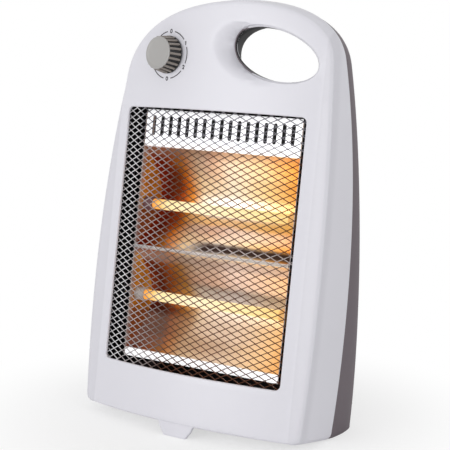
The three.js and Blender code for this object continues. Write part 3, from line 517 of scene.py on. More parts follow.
def makeRearShell():
    outline = housingOutline()
    wall = housing["wall"]
    backLoop = [shrink(p, rear["inset"]) for p in outline]
    vents = []
    for rows, bottom in ((rear["ventRows"], rear["ventBottom"]),
                         (rear["upperRows"], rear["upperBottom"])):
        for row in range(rows):
            z = bottom + row * rear["ventPitch"]
            for x in (-rear["ventLength"] - rear["ventGap"] / 2, rear["ventGap"] / 2):
                vents.append(roundedLoop(x, x + rear["ventLength"], z, z + rear["ventHeight"],
                                         2.2, 4.5, 3))
    inlet = circleLoop(*rear["inlet"])
    skin = Skin()

    def backAt(point):
        return backDepth(point.y)

    def behind(point):
        return backDepth(point.y) - wall

    def between(point, share):
        start = rearStart(point.y)
        return start + share * (backDepth(point.y) - start)

    def rimRings(index):
        if index:
            tight = (vents + [inlet])[index - 1]
            rings = roundOver(tight, 0.5, backAt, direction=-1, steps=2)
            return rings + [sunk(tight, behind)]
        rings = []
        profile = bezier([(0, 0.5), (0.75, 1), (0.97, 4.5), (1, rear["inset"])], 14)
        for share, inset in profile[-2::-1]:
            ring = [shrink(p, inset) for p in outline]
            rings.append(sunk(ring, lambda p: between(p, share)))
        for inset, depth, lift in ((0.9, 0, 0.2), (wall + 0.5, 0, wall), (wall + 0.5, 4, wall)):
            ring = [shrink(p, inset, lift) for p in outline]
            rings.append(sunk(ring, lambda p: rearStart(p.y) + depth))
        for share, inset in ((0.7, 3), (0.9, 6.5)):
            ring = [shrink(p, inset + wall, wall) for p in outline]
            rings.append(sunk(ring, lambda p: between(p, share) - wall / 2))
        return rings

    loops = [backLoop] + [offsetLoop(loop, 0.5) for loop in (*vents, inlet)]
    # the rim's rings past the 16th are inside the shell, and take its painted shade
    _, inner = plate(skin, loops, 6, backAt, behind, rimRings, hiddenFrom=16)
    for i in inner:
        x, depth, height = skin.points[i]
        skin.points[i] = (x, depth, max(height, floorHeight(depth, wall)))
    body = skin.build("rearShell", angle=28, keep=0)

    solids, bosses, hollows = Skin(), Skin(), Skin()
    far = [backDepth(p.y) - 1 for p in backOval(grip["flareDepth"], wall)]
    ends = [(frontDepth(p) + grip["lip"] + 0.3, p) for p in gripLoop(wall, 72)]
    sleeve = [[(p.x, depth, p.y) for depth, p in ends]]
    for share in (0.25, 0.5, 0.75, 1):
        ring = []
        for i, (start, _) in enumerate(ends):
            depth = start + share * (far[i] - start)
            q = backOval(depth, wall)[i]
            ring.append((q.x, depth, q.y))
        sleeve.append(ring)
    plug(solids, sleeve)
    for x, z in rear["wells"]:
        boss = circleLoop(x, z, rear["wellRadius"] + 1.3)
        plug(bosses, [sunk(boss, depth) for depth in (rearStart(z), backDepth(z) - 2)])
        floor = seamDepth(z) + rear["wellFloor"]
        well, bore = circleLoop(x, z, rear["wellRadius"]), circleLoop(x, z, 2)
        plug(hollows, [sunk(ring, depth) for ring, depth in (
            (bore, floor - 8), (bore, floor), (well, floor), (well, backDepth(z) - 0.6),
            (circleLoop(x, z, rear["wellRadius"] + 2.4), backDepth(z) + 1.8))])
    first = len(hollows.faces)
    plug(hollows, [sunk(backOval(depth, 0), depth)
                   for depth in (0, 8, grip["flareStart"], 24, 36, 48, 60, 72)])
    # the carrying hole's faces take the third finish, the painted shade of its bore
    hollows.hidden, hollows.tone = set(range(first, len(hollows.faces))), 2
    carve(body, "sleeve", solids, "UNION")
    carve(body, "screwBosses", bosses, "UNION")
    carve(body, "carryingHole", hollows, "DIFFERENCE")
    base, rim = Skin(), circleLoop(*rear["plunger"], 40)
    plug(base, [[(p.x / 1000, p.y / 1000, z) for p in rim] for z in (-0.01, 0.01)])
    carve(body, "plungerHole", base, "DIFFERENCE", lambda *point: Vector(point))
    body.data.set_sharp_from_angle(angle=math.radians(28))
    return body


def applyAll(piece):
    # the evaluated shape becomes the piece's own mesh
    graph = bpy.context.evaluated_depsgraph_get()
    mesh = bpy.data.meshes.new_from_object(piece.evaluated_get(graph), depsgraph=graph)
    piece.modifiers.clear()
    piece.data = mesh
    return piece


class Value:
    # a node's output that takes part in Python sums
    def __init__(self, graph, socket):
        self.graph, self.socket = graph, socket

    def maths(self, operation, *values):
        return self.graph.maths(operation, *values)

    def __add__(self, other):
        return self.maths("ADD", self, other)

    def __sub__(self, other):
        return self.maths("SUBTRACT", self, other)

    def __rsub__(self, other):
        return self.maths("SUBTRACT", other, self)

    def __mul__(self, other):
        return self.maths("MULTIPLY", self, other)

    def __truediv__(self, other):
        return self.maths("DIVIDE", self, other)

    def __rtruediv__(self, other):
        return self.maths("DIVIDE", other, self)

    def __mod__(self, other):
        return self.maths("MODULO", self, other)

    __radd__ = __add__
    __rmul__ = __mul__

    def size(self):
        return self.maths("ABSOLUTE", self)

    def step(self, low, high):
        # 0 below low, 1 above high, smooth between them
        return self.graph.add("ShaderNodeMapRange", {"interpolation_type": "SMOOTHSTEP"},
                              {"Value": self, "From Min": low, "From Max": high})

    def band(self, low, high, soft):
        return self.step(low - soft, low + soft) * (1 - self.step(high - soft, high + soft))


class Graph:
    # adds the nodes of one tree and hands their outputs back as Values
    def __init__(self, tree):
        self.tree = tree

    def put(self, socket, value):
        # a list goes into a socket that takes several links
        for item in value if isinstance(value, list) else [value]:
            if isinstance(item, Value):
                self.tree.links.new(item.socket, socket)
            else:
                socket.default_value = item

    def add(self, kind, settings=None, values=None, output=0):
        node = self.tree.nodes.new(kind)
        for key, value in (settings or {}).items():
            if key == "stops":
                ramp = node.color_ramp.elements
                while len(ramp) < len(value):
                    ramp.new(0.5)
                for element, (position, colour) in zip(ramp, value):
                    element.position, element.color = position, colour
            else:
                setattr(node, key, value)
        for key, value in (values or {}).items():
            self.put(node.inputs[key], value)
        return Value(self, node.outputs[output])

    def maths(self, operation, *values):
        return self.add("ShaderNodeMath", {"operation": operation}, dict(enumerate(values)))

    def axes(self, where):
        parts = self.add("ShaderNodeSeparateXYZ", {}, {0: where})
        return [Value(self, parts.socket.node.outputs[k]) for k in range(3)]


class GeometryTree(Graph):
    # a Geometry Nodes tree with named number inputs, put on a piece and then applied
    def __init__(self, name, sizes):
        super().__init__(bpy.data.node_groups.new(name, "GeometryNodeTree"))
        face = self.tree.interface
        face.new_socket("Geometry", in_out="INPUT", socket_type="NodeSocketGeometry")
        self.ids = {}
        for key, value in sizes.items():
            kind = "NodeSocketInt" if isinstance(value, int) else "NodeSocketFloat"
            socket = face.new_socket(key, in_out="INPUT", socket_type=kind)
            socket.default_value = value
            self.ids[socket.identifier] = value
        face.new_socket("Geometry", in_out="OUTPUT", socket_type="NodeSocketGeometry")
        start = self.tree.nodes.new("NodeGroupInput")
        self.points = Value(self, start.outputs[0])
        self.sizes = [Value(self, start.outputs[key]) for key in sizes]
        self.end = self.tree.nodes.new("NodeGroupOutput")

    def vector(self, x=0.0, y=0.0, z=0.0):
        return self.add("ShaderNodeCombineXYZ", {}, {0: x, 1: y, 2: z})

    def moved(self, geometry, **values):
        return self.add("GeometryNodeTransform", {}, {"Geometry": geometry, **values})

    def spiral(self, resolution, turns, radius, height):
        return self.add("GeometryNodeCurveSpiral", {}, {
            "Resolution": resolution, "Rotations": turns, "Start Radius": radius,
            "End Radius": radius, "Height": height})

    def tube(self, path, sides, radius, capped=True):
        ring = self.add("GeometryNodeCurvePrimitiveCircle", {"mode": "RADIUS"},
                        {"Resolution": sides, "Radius": radius})
        return self.add("GeometryNodeCurveToMesh", {}, {
            "Curve": path, "Profile Curve": ring, "Fill Caps": capped})

    def finish(self, name, geometry, finish, points=()):
        real = self.add("GeometryNodeRealizeInstances", {}, {0: geometry})
        self.put(self.end.inputs[0], self.add("GeometryNodeSetMaterial", {}, {
            "Geometry": real, "Material": finishes[finish]}))
        piece = bpy.data.objects.new(name, bpy.data.meshes.new(name))
        piece.data.from_pydata(points, [], [])
        bpy.context.collection.objects.link(piece)
        modifier = piece.modifiers.new(name, "NODES")
        modifier.node_group = self.tree
        for identifier, value in self.ids.items():
            modifier[identifier] = value
        applyAll(piece)
        piece.data.shade_smooth()
        return piece


def leanAll(piece):
    # takes a mesh from panel metres (x, depth, height) to its place
    for vertex in piece.data.vertices:
        vertex.co = place(*(vertex.co * 1000))
    piece.data.update()
    return piece


guard = {"columns": 34, "rows": 79, "wire": 0.5, "weave": 0.5, "depth": 3.4, "overlap": 2.5}


def makeGuard():
    # rows of zigzag wires that meet at their bends, bent to the curve of the face
    tree = GeometryTree("guardWires", {
        "Columns": guard["columns"], "Rows": guard["rows"], "Wire radius": guard["wire"] / 1000,
        "Half width": (window["halfWidth"] + guard["overlap"]) / 1000,
        "Bottom": (window["bottom"] - guard["overlap"]) / 1000,
        "Top": (window["top"] + guard["overlap"]) / 1000,
        "Face radius": housing["faceRadius"] / 1000, "Depth": guard["depth"] / 1000,
    })
    columns, rows, wire, half, bottom, top, radius, deep = tree.sizes
    rise = (top - bottom) / rows
    line = tree.add("GeometryNodeMeshLine", {"mode": "OFFSET"}, {
        "Count": columns + 1.0, "Offset": tree.vector(x=half * 2.0 / columns),
        "Start Location": tree.vector(x=half * -1.0, z=bottom)})
    odd = tree.add("GeometryNodeInputIndex") % 2.0
    zigzag = tree.add("GeometryNodeSetPosition", {}, {
        "Geometry": line, "Offset": tree.vector(z=odd * rise)})
    posts = tree.add("GeometryNodeMeshLine", {"mode": "OFFSET"}, {
        "Count": rows, "Offset": tree.vector(z=rise)})
    copies = tree.add("GeometryNodeInstanceOnPoints", {}, {"Points": posts, "Instance": zigzag})
    real = tree.add("GeometryNodeRealizeInstances", {}, {0: copies})
    # every second row is turned over, so that its bends meet those of its neighbours
    x, _, z = tree.axes(tree.add("GeometryNodeInputPosition"))
    order = tree.add("GeometryNodeInputIndex")
    row = tree.maths("FLOOR", (order + 0.5) / (columns + 1.0))
    turned = row % 2.0
    up = z - (bottom + row * rise)
    sag = radius - tree.maths("SQRT", radius * radius - x * x)
    weave = (turned - 0.5) * (guard["weave"] / 1000)
    bent = tree.add("GeometryNodeSetPosition", {}, {
        "Geometry": real,
        "Position": tree.vector(x, sag + deep + weave, z + (rise - up * 2.0) * turned)})
    wires = tree.add("GeometryNodeMeshToCurve", {}, {0: bent})
    return leanAll(tree.finish("guardWires", tree.tube(wires, 6, wire, False),
                               "guardChrome"))


def tint(red, green, blue):
    # a colour read from 0 to 255, as the linear values that a material takes
    return tuple(((c / 255 + 0.055) / 1.055) ** 2.4 if c > 10 else c / 3295
                 for c in (red, green, blue)) + (1,)


class Finish(Graph):
    # one material
    def __init__(self, name, **values):
        self.material = bpy.data.materials.new(name)
        self.material.use_nodes = True
        super().__init__(self.material.node_tree)
        self.shader = next(n for n in self.tree.nodes if n.type == "BSDF_PRINCIPLED")
        self.set(**{"Specular IOR Level": 0.5}, **values)

    def set(self, **values):
        for key, value in values.items():
            self.put(self.shader.inputs[key.replace("_", " ")], value)

    def where(self):
        return self.add("ShaderNodeTexCoord", output=3)

    def panelAxes(self):
        # x, depth and height in millimetres, as in the lengths above
        x, y, z = self.axes(self.where())
        lean = math.radians(panel["lean"])
        out, up = y * 1000 - panel["shiftY"], z * 1000 - panel["lift"]
        return (x * 1000 - panel["shiftX"], out * math.cos(lean) - up * math.sin(lean),
                up * math.cos(lean) + out * math.sin(lean))

    def stretched(self, scale):
        return self.add("ShaderNodeMapping", {}, {"Vector": self.where(), "Scale": scale})

    def noise(self, scale, detail=2, where=None, roughness=0.5):
        return self.add("ShaderNodeTexNoise", {}, {"Vector": where or self.where(),
                        "Scale": scale, "Detail": detail, "Roughness": roughness})

    def mix(self, share, first, second, blend="MIX"):
        return self.add("ShaderNodeMix", {"data_type": "RGBA", "blend_type": blend},
                        {0: share, 6: first, 7: second}, output=2)

    def bump(self, height, strength, distance):
        return self.add("ShaderNodeBump", {}, {"Strength": strength, "Distance": distance,
                                               "Height": height})


def shaded(colour, factor):
    return tuple(c * factor for c in colour[:3]) + (1,)


def plastic(name, colour, roughness, grain=0.25, scale=900, mottling=0.02, dust=0.0):
    # moulded plastic: fine grain, a slow drift of shade and a little dust in the hollows
    finish = Finish(name)
    fine, broad = finish.noise(scale, 3), finish.noise(16, 3)
    shade = finish.mix(broad, shaded(colour, 1 - mottling), shaded(colour, 1 + mottling))
    if dust:
        shade = finish.mix(finish.noise(260, 5).step(0.55, 0.8) * dust, shade, tint(150, 145, 140))
    finish.set(Base_Color=shade, Roughness=fine * 0.12 + (broad * 0.06 + roughness - 0.09),
               Normal=finish.bump(fine, grain, 0.00008))
    return finish


def metal(name, colour, roughness, across=(6, 900, 900), marks=0.1, strength=0.2):
    # sheet metal with the drawn lines of its rolling and a few cloudy marks
    finish = Finish(name, Metallic=1.0)
    lines = finish.noise(1.0, 3, finish.stretched(across))
    cloud = finish.noise(45, 4)
    finish.set(Base_Color=finish.mix(cloud.step(0.4, 0.75), colour, shaded(colour, 1 - marks)),
               Roughness=lines * 0.12 + (cloud * 0.1 + roughness - 0.1),
               Normal=finish.bump(lines, strength, 0.00005))
    return finish


# colour, roughness, grain, grain's scale, mottling and dust
plastics = {
    "shellPlum": (tint(100, 90, 96), 0.5, 0.3, 1100, 0.05, 0.06),
    "phenolic": (tint(52, 40, 34), 0.42, 0.3, 1500, 0.12, 0.1),
    # painted shade: the near black of the carrying hole's bore in the rear shell
    "boreDark": (tint(24, 21, 24), 0.7, 0.3, 1100, 0.05),
    # painted shade: the near black of the shells' insides and of the channel behind the strip
    "innerDark": (tint(26, 24, 27), 0.6, 0.3, 1100, 0.1),
    # painted shade: the dial core's near black, in the grooves between the ribs and under the
    # knob's edge
    "blackPlastic": (tint(20, 19, 21), 0.5, 0.3, 1500, 0.1),
    "dialGrey": (tint(166, 164, 162), 0.33, 0.2, 1300, 0.03),
    "dialRibs": (tint(140, 132, 125), 0.38, 0.2, 1300, 0.05),
    "printGrey": (tint(44, 42, 48), 0.5, 0.1, 1500, 0.05),
    "rubber": (tint(34, 33, 35), 0.62, 0.5, 1700, 0.15, 0.15),
}
# colour and glow
ceramics = {
    "ceramic": (tint(196, 190, 186),), "hotCeramic": (tint(120, 84, 88),),
    "litCeramic": (tint(232, 178, 106), 0.45),
}


def makeFinishes():
    finishes = {}
    white = plastic("shellWhite", tint(221, 220, 227), 0.36, 0.12, 700, 0.012)
    x, depth, _ = white.panelAxes()
    # painted shade: the bands outside the creases are darkened on the front of the shell
    paintedBorderShade = x.size().step(housing["crease"] - 0.5, housing["crease"] + 1.5)
    front = 1 - depth.step(26, 34)
    colour = white.shader.inputs["Base Color"].links[0].from_socket
    white.set(Base_Color=white.mix(paintedBorderShade * front * 0.4, Value(white, colour),
                                   tint(200, 199, 206)))
    finishes["shellWhite"] = white
    for name, values in plastics.items():
        finishes[name] = plastic(name, *values)
    for name, values in ceramics.items():
        finishes[name] = ceramic(name, *values)
    finishes["brass"] = metal("brass", tint(214, 176, 96), 0.3, (800, 800, 60))
    for make in (guardChrome, polishedSheet, endSheet, galvanised, quartz, hotWire):
        finishes[make.__name__] = make()
    return {name: finish.material for name, finish in finishes.items()}


def guardChrome():
    # painted light and shade on the wire: near white at the left end, brown painted shade in front
    # of the lit elements, less at the divider, darker grey before the bright strip
    finish = Finish("guardChrome", Metallic=0.85)
    x, _, height = finish.panelAxes()
    drift = (finish.noise(28, 3) - 0.5) * 30
    paintedShadeZone = (x + drift).step(-66, -18)
    stripShade = height.step(257, 262)
    dividerBandLighter = (height + drift * 0.2).band(157, 168, 3) * x.step(-40, 0)
    paintedShadeBrown = finish.mix(finish.noise(300, 2), tint(72, 44, 32), tint(104, 70, 54))
    greyWithStripShade = finish.mix(stripShade, tint(196, 190, 190), tint(120, 119, 126))
    # painted highlight: the wires at the left end are near white
    left = 1 - x.step(-86, -76)
    tone = finish.mix(paintedShadeZone * (1 - stripShade) * (1 - dividerBandLighter * 0.75), greyWithStripShade, paintedShadeBrown)
    tone = finish.mix(left, tone, (0.95, 0.95, 0.96, 1))
    finish.set(Base_Color=tone, Roughness=finish.noise(500, 2) * 0.12 + 0.28,
               Normal=finish.bump(finish.noise(1500, 2), 0.1, 0.00003))
    return finish


def ramp(finish, value, stops):
    return finish.add("ShaderNodeValToRGB", {"stops": stops}, {0: value})


def polishedSheet():
    # polished sheet with painted reflections of the lit tubes and the dark inside: straw, brown and
    # dark red towards its ends and edges, and a painted glow from the tubes in front of it
    finish = Finish("polishedSheet", Emission_Strength=0.4)
    x, _, height = finish.panelAxes()
    drift = finish.noise(24, 3, roughness=0.6) - 0.5
    fine = finish.noise(70, 3) - 0.5

    def paintedPatch(low, high, soft, spread):
        # a painted patch of reflection between two heights, with an uneven edge
        return (height + drift * spread).band(low, high, soft)

    along = (x + drift * 26 + fine * 8 + 88) / 176
    upper = ramp(finish, along, [
        (0.0, tint(120, 40, 16)), (0.05, tint(96, 26, 12)), (0.13, tint(134, 60, 22)),
        (0.2, tint(176, 112, 44)), (0.3, tint(206, 188, 168)), (0.5, tint(222, 212, 204)),
        (0.72, tint(230, 200, 158)), (0.9, tint(222, 160, 84)), (1.0, tint(206, 132, 58))])
    lower = ramp(finish, along, [
        (0.0, tint(128, 58, 26)), (0.06, tint(92, 34, 18)), (0.14, tint(148, 80, 34)),
        (0.24, tint(172, 122, 62)), (0.36, tint(190, 172, 154)), (0.6, tint(206, 190, 180)),
        (0.85, tint(214, 184, 150)), (1.0, tint(212, 166, 112))])
    high = height.step(156.5, 158)
    paintedReflection = finish.mix(high, lower, upper)
    # painted reflection: greyish brown along the top of the upper trough
    top = (height + drift * 8).step(244, 254) * (1 - along.step(0.7, 1.0) * 0.4)
    paintedReflection = finish.mix(top * 0.7, paintedReflection, tint(150, 124, 108))
    ledgeReflection = paintedPatch(172, 184, 4, 6) * along.step(0.25, 0.5)
    paintedReflection = finish.mix(ledgeReflection * 0.6, paintedReflection, tint(178, 160, 156))
    goldenReflection = paintedPatch(184, 193, 3, 10) * along.step(0.15, 0.3)
    paintedReflection = finish.mix(goldenReflection * 0.7, paintedReflection, tint(232, 172, 84))
    darkReflection = paintedPatch(160, 168, 2.5, 4) * along.step(0.3, 0.45)
    paintedReflection = finish.mix(darkReflection, paintedReflection, tint(34, 8, 8))
    paintedReflection = finish.mix(paintedPatch(145, 155, 3, 5) * 0.65, paintedReflection, tint(170, 156, 150))
    underReflection = paintedPatch(72, 101, 4, 5) * (1 - along.step(0.16, 0.4))
    paintedReflection = finish.mix(underReflection * 0.85, paintedReflection, tint(66, 26, 18))
    cloudyReflection = paintedPatch(62, 92, 6, 12) * (1 - along.step(0.5, 0.85))
    paintedReflection = finish.mix(cloudyReflection * 0.6, paintedReflection, tint(150, 122, 108))
    pinkReflection = paintedPatch(76, 98, 5, 9) * along.step(0.3, 0.42) * (1 - along.step(0.6, 0.9))
    paintedReflection = finish.mix(pinkReflection * 0.6, paintedReflection, tint(206, 190, 186))
    # painted highlight: the strip, the bottom and the divider rib are near white and glow grey
    paintedLitBands = finish.maths("MAXIMUM", height.step(255, 257), 1 - height.step(57.5, 59))
    paintedLitBands = finish.maths("MAXIMUM", paintedLitBands, height.band(155.9, 159.2, 0.3))
    lines = finish.noise(1.0, 3, finish.stretched((5, 600, 600)))
    bright = finish.mix(lines * 0.5, tint(250, 250, 252), tint(226, 225, 226))
    finish.set(Base_Color=finish.mix(paintedLitBands, paintedReflection, bright),
               Emission_Color=finish.mix(paintedLitBands, paintedReflection, tint(150, 150, 152)),
               Roughness=paintedLitBands * 0.2 + lines * 0.08 + darkReflection * 0.4 + 0.2, Metallic=1 - darkReflection * 0.9,
               Normal=finish.bump(lines, 0.12, 0.00005))
    return finish


def endSheet():
    # the side plates: a painted golden brown glow, darker brown from the lower cap to the divider
    # and from the upper cap up
    finish = Finish("endSheet", Metallic=0.8, Emission_Strength=0.35)
    x, depth, height = finish.panelAxes()
    drift = finish.noise(40, 4, roughness=0.6)
    tone = ramp(finish, drift, [(0.3, tint(150, 84, 26)), (0.5, tint(190, 124, 40)),
                                (0.7, tint(206, 152, 74))])
    low = (height + drift * 12).band(100, 158, 3) + (height + drift * 12).step(198, 204)
    tone = finish.mix(1 - low, tone, tint(128, 70, 36))
    edge = finish.maths("MAXIMUM", 1 - (depth + drift * 6).step(33, 40),
                        (height + drift * 8).step(246, 256))
    tone = finish.mix(edge * 0.75, tone, tint(150, 142, 140))
    away = x.size().step(88.6, 88.8)
    finish.set(Base_Color=finish.mix(away, tone, tint(120, 118, 118)),
               Emission_Color=finish.mix(away, tone, tint(0, 0, 0)),
               Roughness=drift * 0.2 + 0.3,
               Normal=finish.bump(finish.noise(600, 2), 0.1, 0.00005))
    return finish


def galvanised():
    # zinc spangle: flat crystals, each with its own shade and gloss
    finish = Finish("galvanised", Metallic=0.9)
    crystals = finish.add("ShaderNodeTexVoronoi", {}, {"Vector": finish.where(), "Scale": 260.0},
                          output=1)
    tone = finish.axes(crystals)[0]
    finish.set(Base_Color=finish.mix(tone, tint(150, 153, 156), tint(186, 188, 190)),
               Roughness=tone * 0.2 + 0.3,
               Normal=finish.bump(finish.noise(900, 2), 0.1, 0.00005))
    return finish


def ceramic(name, colour, glow=0.0):
    # steatite: matt, slightly uneven, with small dark specks
    finish = Finish(name, Emission_Strength=glow, Emission_Color=colour)
    specks = finish.noise(1900, 2).step(0.68, 0.76)
    body = finish.mix(finish.noise(160, 4), shaded(colour, 0.93), shaded(colour, 1.04))
    finish.set(Base_Color=finish.mix(specks * 0.5, body, tint(104, 92, 84)),
               Roughness=finish.noise(700, 3) * 0.2 + 0.5,
               Normal=finish.bump(finish.noise(900, 3), 0.3, 0.0001))
    return finish


def quartz():
    # a lit tube: deep orange at its ends, pale yellow where the coil is hottest
    finish = Finish("quartz", Roughness=0.22, Emission_Strength=1.0)
    x, _, _ = finish.panelAxes()
    heat = (x + 88) / 176 + (finish.noise(60, 2) - 0.5) * 0.02
    glow = ramp(finish, heat, [
        (0.0, tint(196, 96, 28)), (0.05, tint(240, 150, 50)), (0.1, tint(250, 190, 96)),
        (0.16, tint(255, 232, 172)), (0.4, tint(255, 243, 204)), (0.75, tint(255, 228, 160)),
        (1.0, tint(250, 200, 112))])
    streaks = finish.noise(1.0, 3, finish.stretched((30, 900, 900)))
    finish.set(Base_Color=finish.mix(streaks * 0.3, tint(120, 84, 50), tint(150, 120, 90)),
               Emission_Color=glow, Normal=finish.bump(streaks, 0.15, 0.0001))
    return finish


def hotWire():
    finish = Finish("hotWire", Metallic=0.6, Emission_Strength=2.0)
    fleck = finish.noise(700, 2)
    finish.set(Base_Color=finish.mix(fleck, tint(120, 60, 30), tint(160, 96, 50)),
               Roughness=fleck * 0.2 + 0.4,
               Emission_Color=finish.mix(fleck, tint(255, 150, 60), tint(255, 190, 96)))
    return finish


finishes = makeFinishes()
print("finishes made:", len(finishes))


sheetMetal = {
    "halfLength": 88, "rim": 30, "deep": 36, "stripTop": 291.5, "upperTop": 255.5, "divide": 157.5,
    "rib": 2, "lowerBottom": 58, "bottom": 50, "thickness": 0.8, "columns": 44, "slots": 17,
    "slotPitch": 9.84, "slotWidth": 4.3, "slotTop": 286, "slotBottom": 266.5,
}


def troughLine(top, bottom, steps=28):
    middle, half = (top + bottom) / 2, (top - bottom) / 2
    shares = [1 - 2 * i / steps for i in range(steps + 1)]
    return [Vector((sheetMetal["rim"] + sheetMetal["deep"] * (1 - s * s), middle + half * s))
            for s in shares]


def makeReflector():
    # one polished sheet: a slotted strip, two parabolic troughs and the rib between them
    size, thick = sheetMetal, sheetMetal["thickness"]
    half = size["halfLength"]
    columns = [-half + 2 * half * i / size["columns"] for i in range(size["columns"] + 1)]
    line = troughLine(size["upperTop"], size["divide"] + size["rib"])
    line += [Vector((size["rim"] - size["rib"] + 0.4, size["divide"] + 0.5)),
             Vector((size["rim"] - size["rib"], size["divide"])),
             Vector((size["rim"] - size["rib"] + 0.4, size["divide"] - 0.5))]
    line += troughLine(size["divide"] - size["rib"], size["lowerBottom"])
    line.append(Vector((size["rim"], size["bottom"])))
    back = []
    for i, point in enumerate(line):
        run = (line[min(i + 1, len(line) - 1)] - line[max(i - 1, 0)]).normalized()
        back.append(point + Vector((-run.y, run.x)) * thick)
    back[0] = Vector((size["rim"] + thick, size["upperTop"]))
    skin = Skin()
    grids = [[skin.ring([(x, p.x, p.y) for x in columns]) for p in side] for side in (line, back)]
    bright, dull = grids
    for grid in grids:
        for a, b in zip(grid, grid[1:]):
            skin.bridge(a, b, closed=False)
    skin.bridge(bright[-1], dull[-1], closed=False)
    for end in (0, -1):
        for i in range(len(line) - 1):
            skin.faces.append((bright[i][end], bright[i + 1][end], dull[i + 1][end],
                               dull[i][end]))
    top, low = size["stripTop"], size["upperTop"]
    rise = [low + (top - low) * i / 8 for i in range(1, 8)]
    outline = [Vector((x, low)) for x in columns] + [Vector((half, z)) for z in rise]
    outline += [Vector((x, top)) for x in columns[::-1]] + [Vector((-half, z)) for z in rise[::-1]]
    slots = []
    for i in range(size["slots"]):
        x = (i - (size["slots"] - 1) / 2) * size["slotPitch"]
        wide = size["slotWidth"] / 2
        slots.append(roundedLoop(x - wide, x + wide, size["slotBottom"], size["slotTop"],
                                 wide - 0.1, 3, 5))
    points, triangles = triangulate([outline, *slots], 4)
    outer = skin.ring((p.x, size["rim"], p.y) for p in points)
    inner = skin.ring((p.x, size["rim"] + thick, p.y) for p in points)
    for a, b, c in triangles:
        skin.faces += [(outer[a], outer[b], outer[c]), (inner[a], inner[c], inner[b])]
    rim = list(range(len(columns) - 1, len(outline))) + [0]
    skin.bridge([outer[i] for i in rim], [inner[i] for i in rim], closed=False)
    first = len(outline)
    for slot in slots:
        members = range(first, first + len(slot))
        skin.bridge([outer[i] for i in members], [inner[i] for i in members])
        first += len(slot)
    return skin.build("reflectorSheet", angle=30)


slotShade = {"low": 259, "top": 290.5, "front": 31.1, "back": 43, "wall": 0.6, "halfLength": 87.6}


def makeSlotShade():
    # a dark channel behind the slotted strip, which shades its slots, coloured with painted shade
    low, top, front, back, wall, half = slotShade.values()
    section = [(front, top), (back, top), (back, low), (front, low), (front, low + wall),
               (back - wall, low + wall), (back - wall, top - wall), (front, top - wall)]
    skin = Skin()
    plug(skin, [[(x, depth, height) for depth, height in section] for x in (-half, half)])
    return skin.build("stripShadeSheet", angle=30)


element = {"depth": 43, "upper": 200, "lower": 110.5, "tube": 5, "bore": 4, "tubeEnd": 90,
           "coil": 3, "wire": 0.45, "turns": 52, "coilHalf": 82, "lead": 89}


def lathe(name, profile, to, count=48, loop=False, angle=30):
    # turns (along, radius) points round an axis, and to() takes them to panel millimetres
    skin = Skin()
    turns = [2 * math.pi * k / count for k in range(count)]
    rings = [skin.ring([to(along, radius * math.cos(t), radius * math.sin(t)) for t in turns])
             for along, radius in profile]
    for a, b in zip(rings, rings[1:]):
        skin.bridge(a, b)
    if loop:
        skin.bridge(rings[-1], rings[0])
    return skin.build(name, angle)


def elementAxis(height, side=1):
    return lambda along, across, up: (side * along, element["depth"] + across, height + up)


def makeTube(level):
    end, tube, bore = element["tubeEnd"], element["tube"], element["bore"]
    profile = [(-end, bore), (-end, tube - 0.2), (-end + 0.2, tube), (-60, tube), (0, tube),
               (60, tube), (end - 0.2, tube), (end, tube - 0.2), (end, bore)]
    return lathe(f"quartzTube{level.title()}", profile, elementAxis(element[level]), loop=True)


def makeCap(level, side, word):
    profile = [(78, 5.35), (78, 6.2), (78.3, 6.5), (89.4, 6.5), (89.4, 8.7), (89.7, 9), (91.1, 9),
               (91.4, 8.7), (91.4, 6.5), (94.7, 6.5), (95, 6.2), (95, 1.5), (90.5, 1.5),
               (90.5, 5.35)]
    name = f"endCap{level.title()}{word.title()}"
    return lathe(name, profile, elementAxis(element[level], side), loop=True)


def makeCoil(level):
    name = f"heatingCoil{level.title()}"
    tree = GeometryTree(name, {
        "Turns": float(element["turns"]), "Coil radius": element["coil"] / 1000,
        "Wire radius": element["wire"] / 1000, "Half length": element["coilHalf"] / 1000,
        "Lead": element["lead"] / 1000, "Depth": element["depth"] / 1000,
        "Height": element[level] / 1000})
    turns, radius, wire, half, lead, depth, height = tree.sizes
    lying = tree.moved(tree.spiral(14, turns, radius, half * 2.0),
                       Rotation=(0, math.pi / 2, 0),
                       Translation=tree.vector(half * -1.0, depth, height))
    # a straight lead runs from each end of the coil into its cap
    leads = [tree.add("GeometryNodeCurvePrimitiveLine", {}, {
        "Start": tree.vector(half * side, depth, height - radius),
        "End": tree.vector(lead * side, depth, height)}) for side in (-1.0, 1.0)]
    path = tree.add("GeometryNodeJoinGeometry", {}, {0: [lying, *leads]})
    return leanAll(tree.finish(name, tree.tube(path, 6, wire), "hotWire"))


dial = {"x": -49.6, "height": 342, "hub": 4.5, "radius": 17.3, "faceRadius": 15.4, "ribs": 21,
        "ribRadius": 1.15, "ring": 22.4, "stroke": 0.95, "arc": 0.95, "numeral": 0.86}


def onDial(outward, across, up):
    turn = math.asin(dial["x"] / housing["faceRadius"])
    return (dial["x"] + across * math.cos(turn) + outward * math.sin(turn),
            faceDepth(dial["x"]) + across * math.sin(turn) - outward * math.cos(turn),
            dial["height"] + up)


def makeDialCore():
    # the core's near black is painted shade between the ribs and a painted shadow under the knob's
    # edge
    profile = [(0.8, 3.1), (0.8, 17.5), (1.0, 17.7), (2.1, 17.7), (2.4, 16.3), (14.2, 14.3),
               (14.2, 3.1)]
    return lathe("dialCore", profile, onDial, 72, True)


def makeDialFace():
    profile = [(14.1, 0), (14.1, 14.8), (14.4, 15.2), (15.2, 15.3), (15.65, 15.1), (15.8, 14.7),
               (15.75, 14.0), (15.45, 13.6), (15.3, 13.1), (15.2, 10), (15.1, 6), (15.05, 2.5),
               (15.05, 0)]
    return lathe("dialFace", profile, onDial, 72)


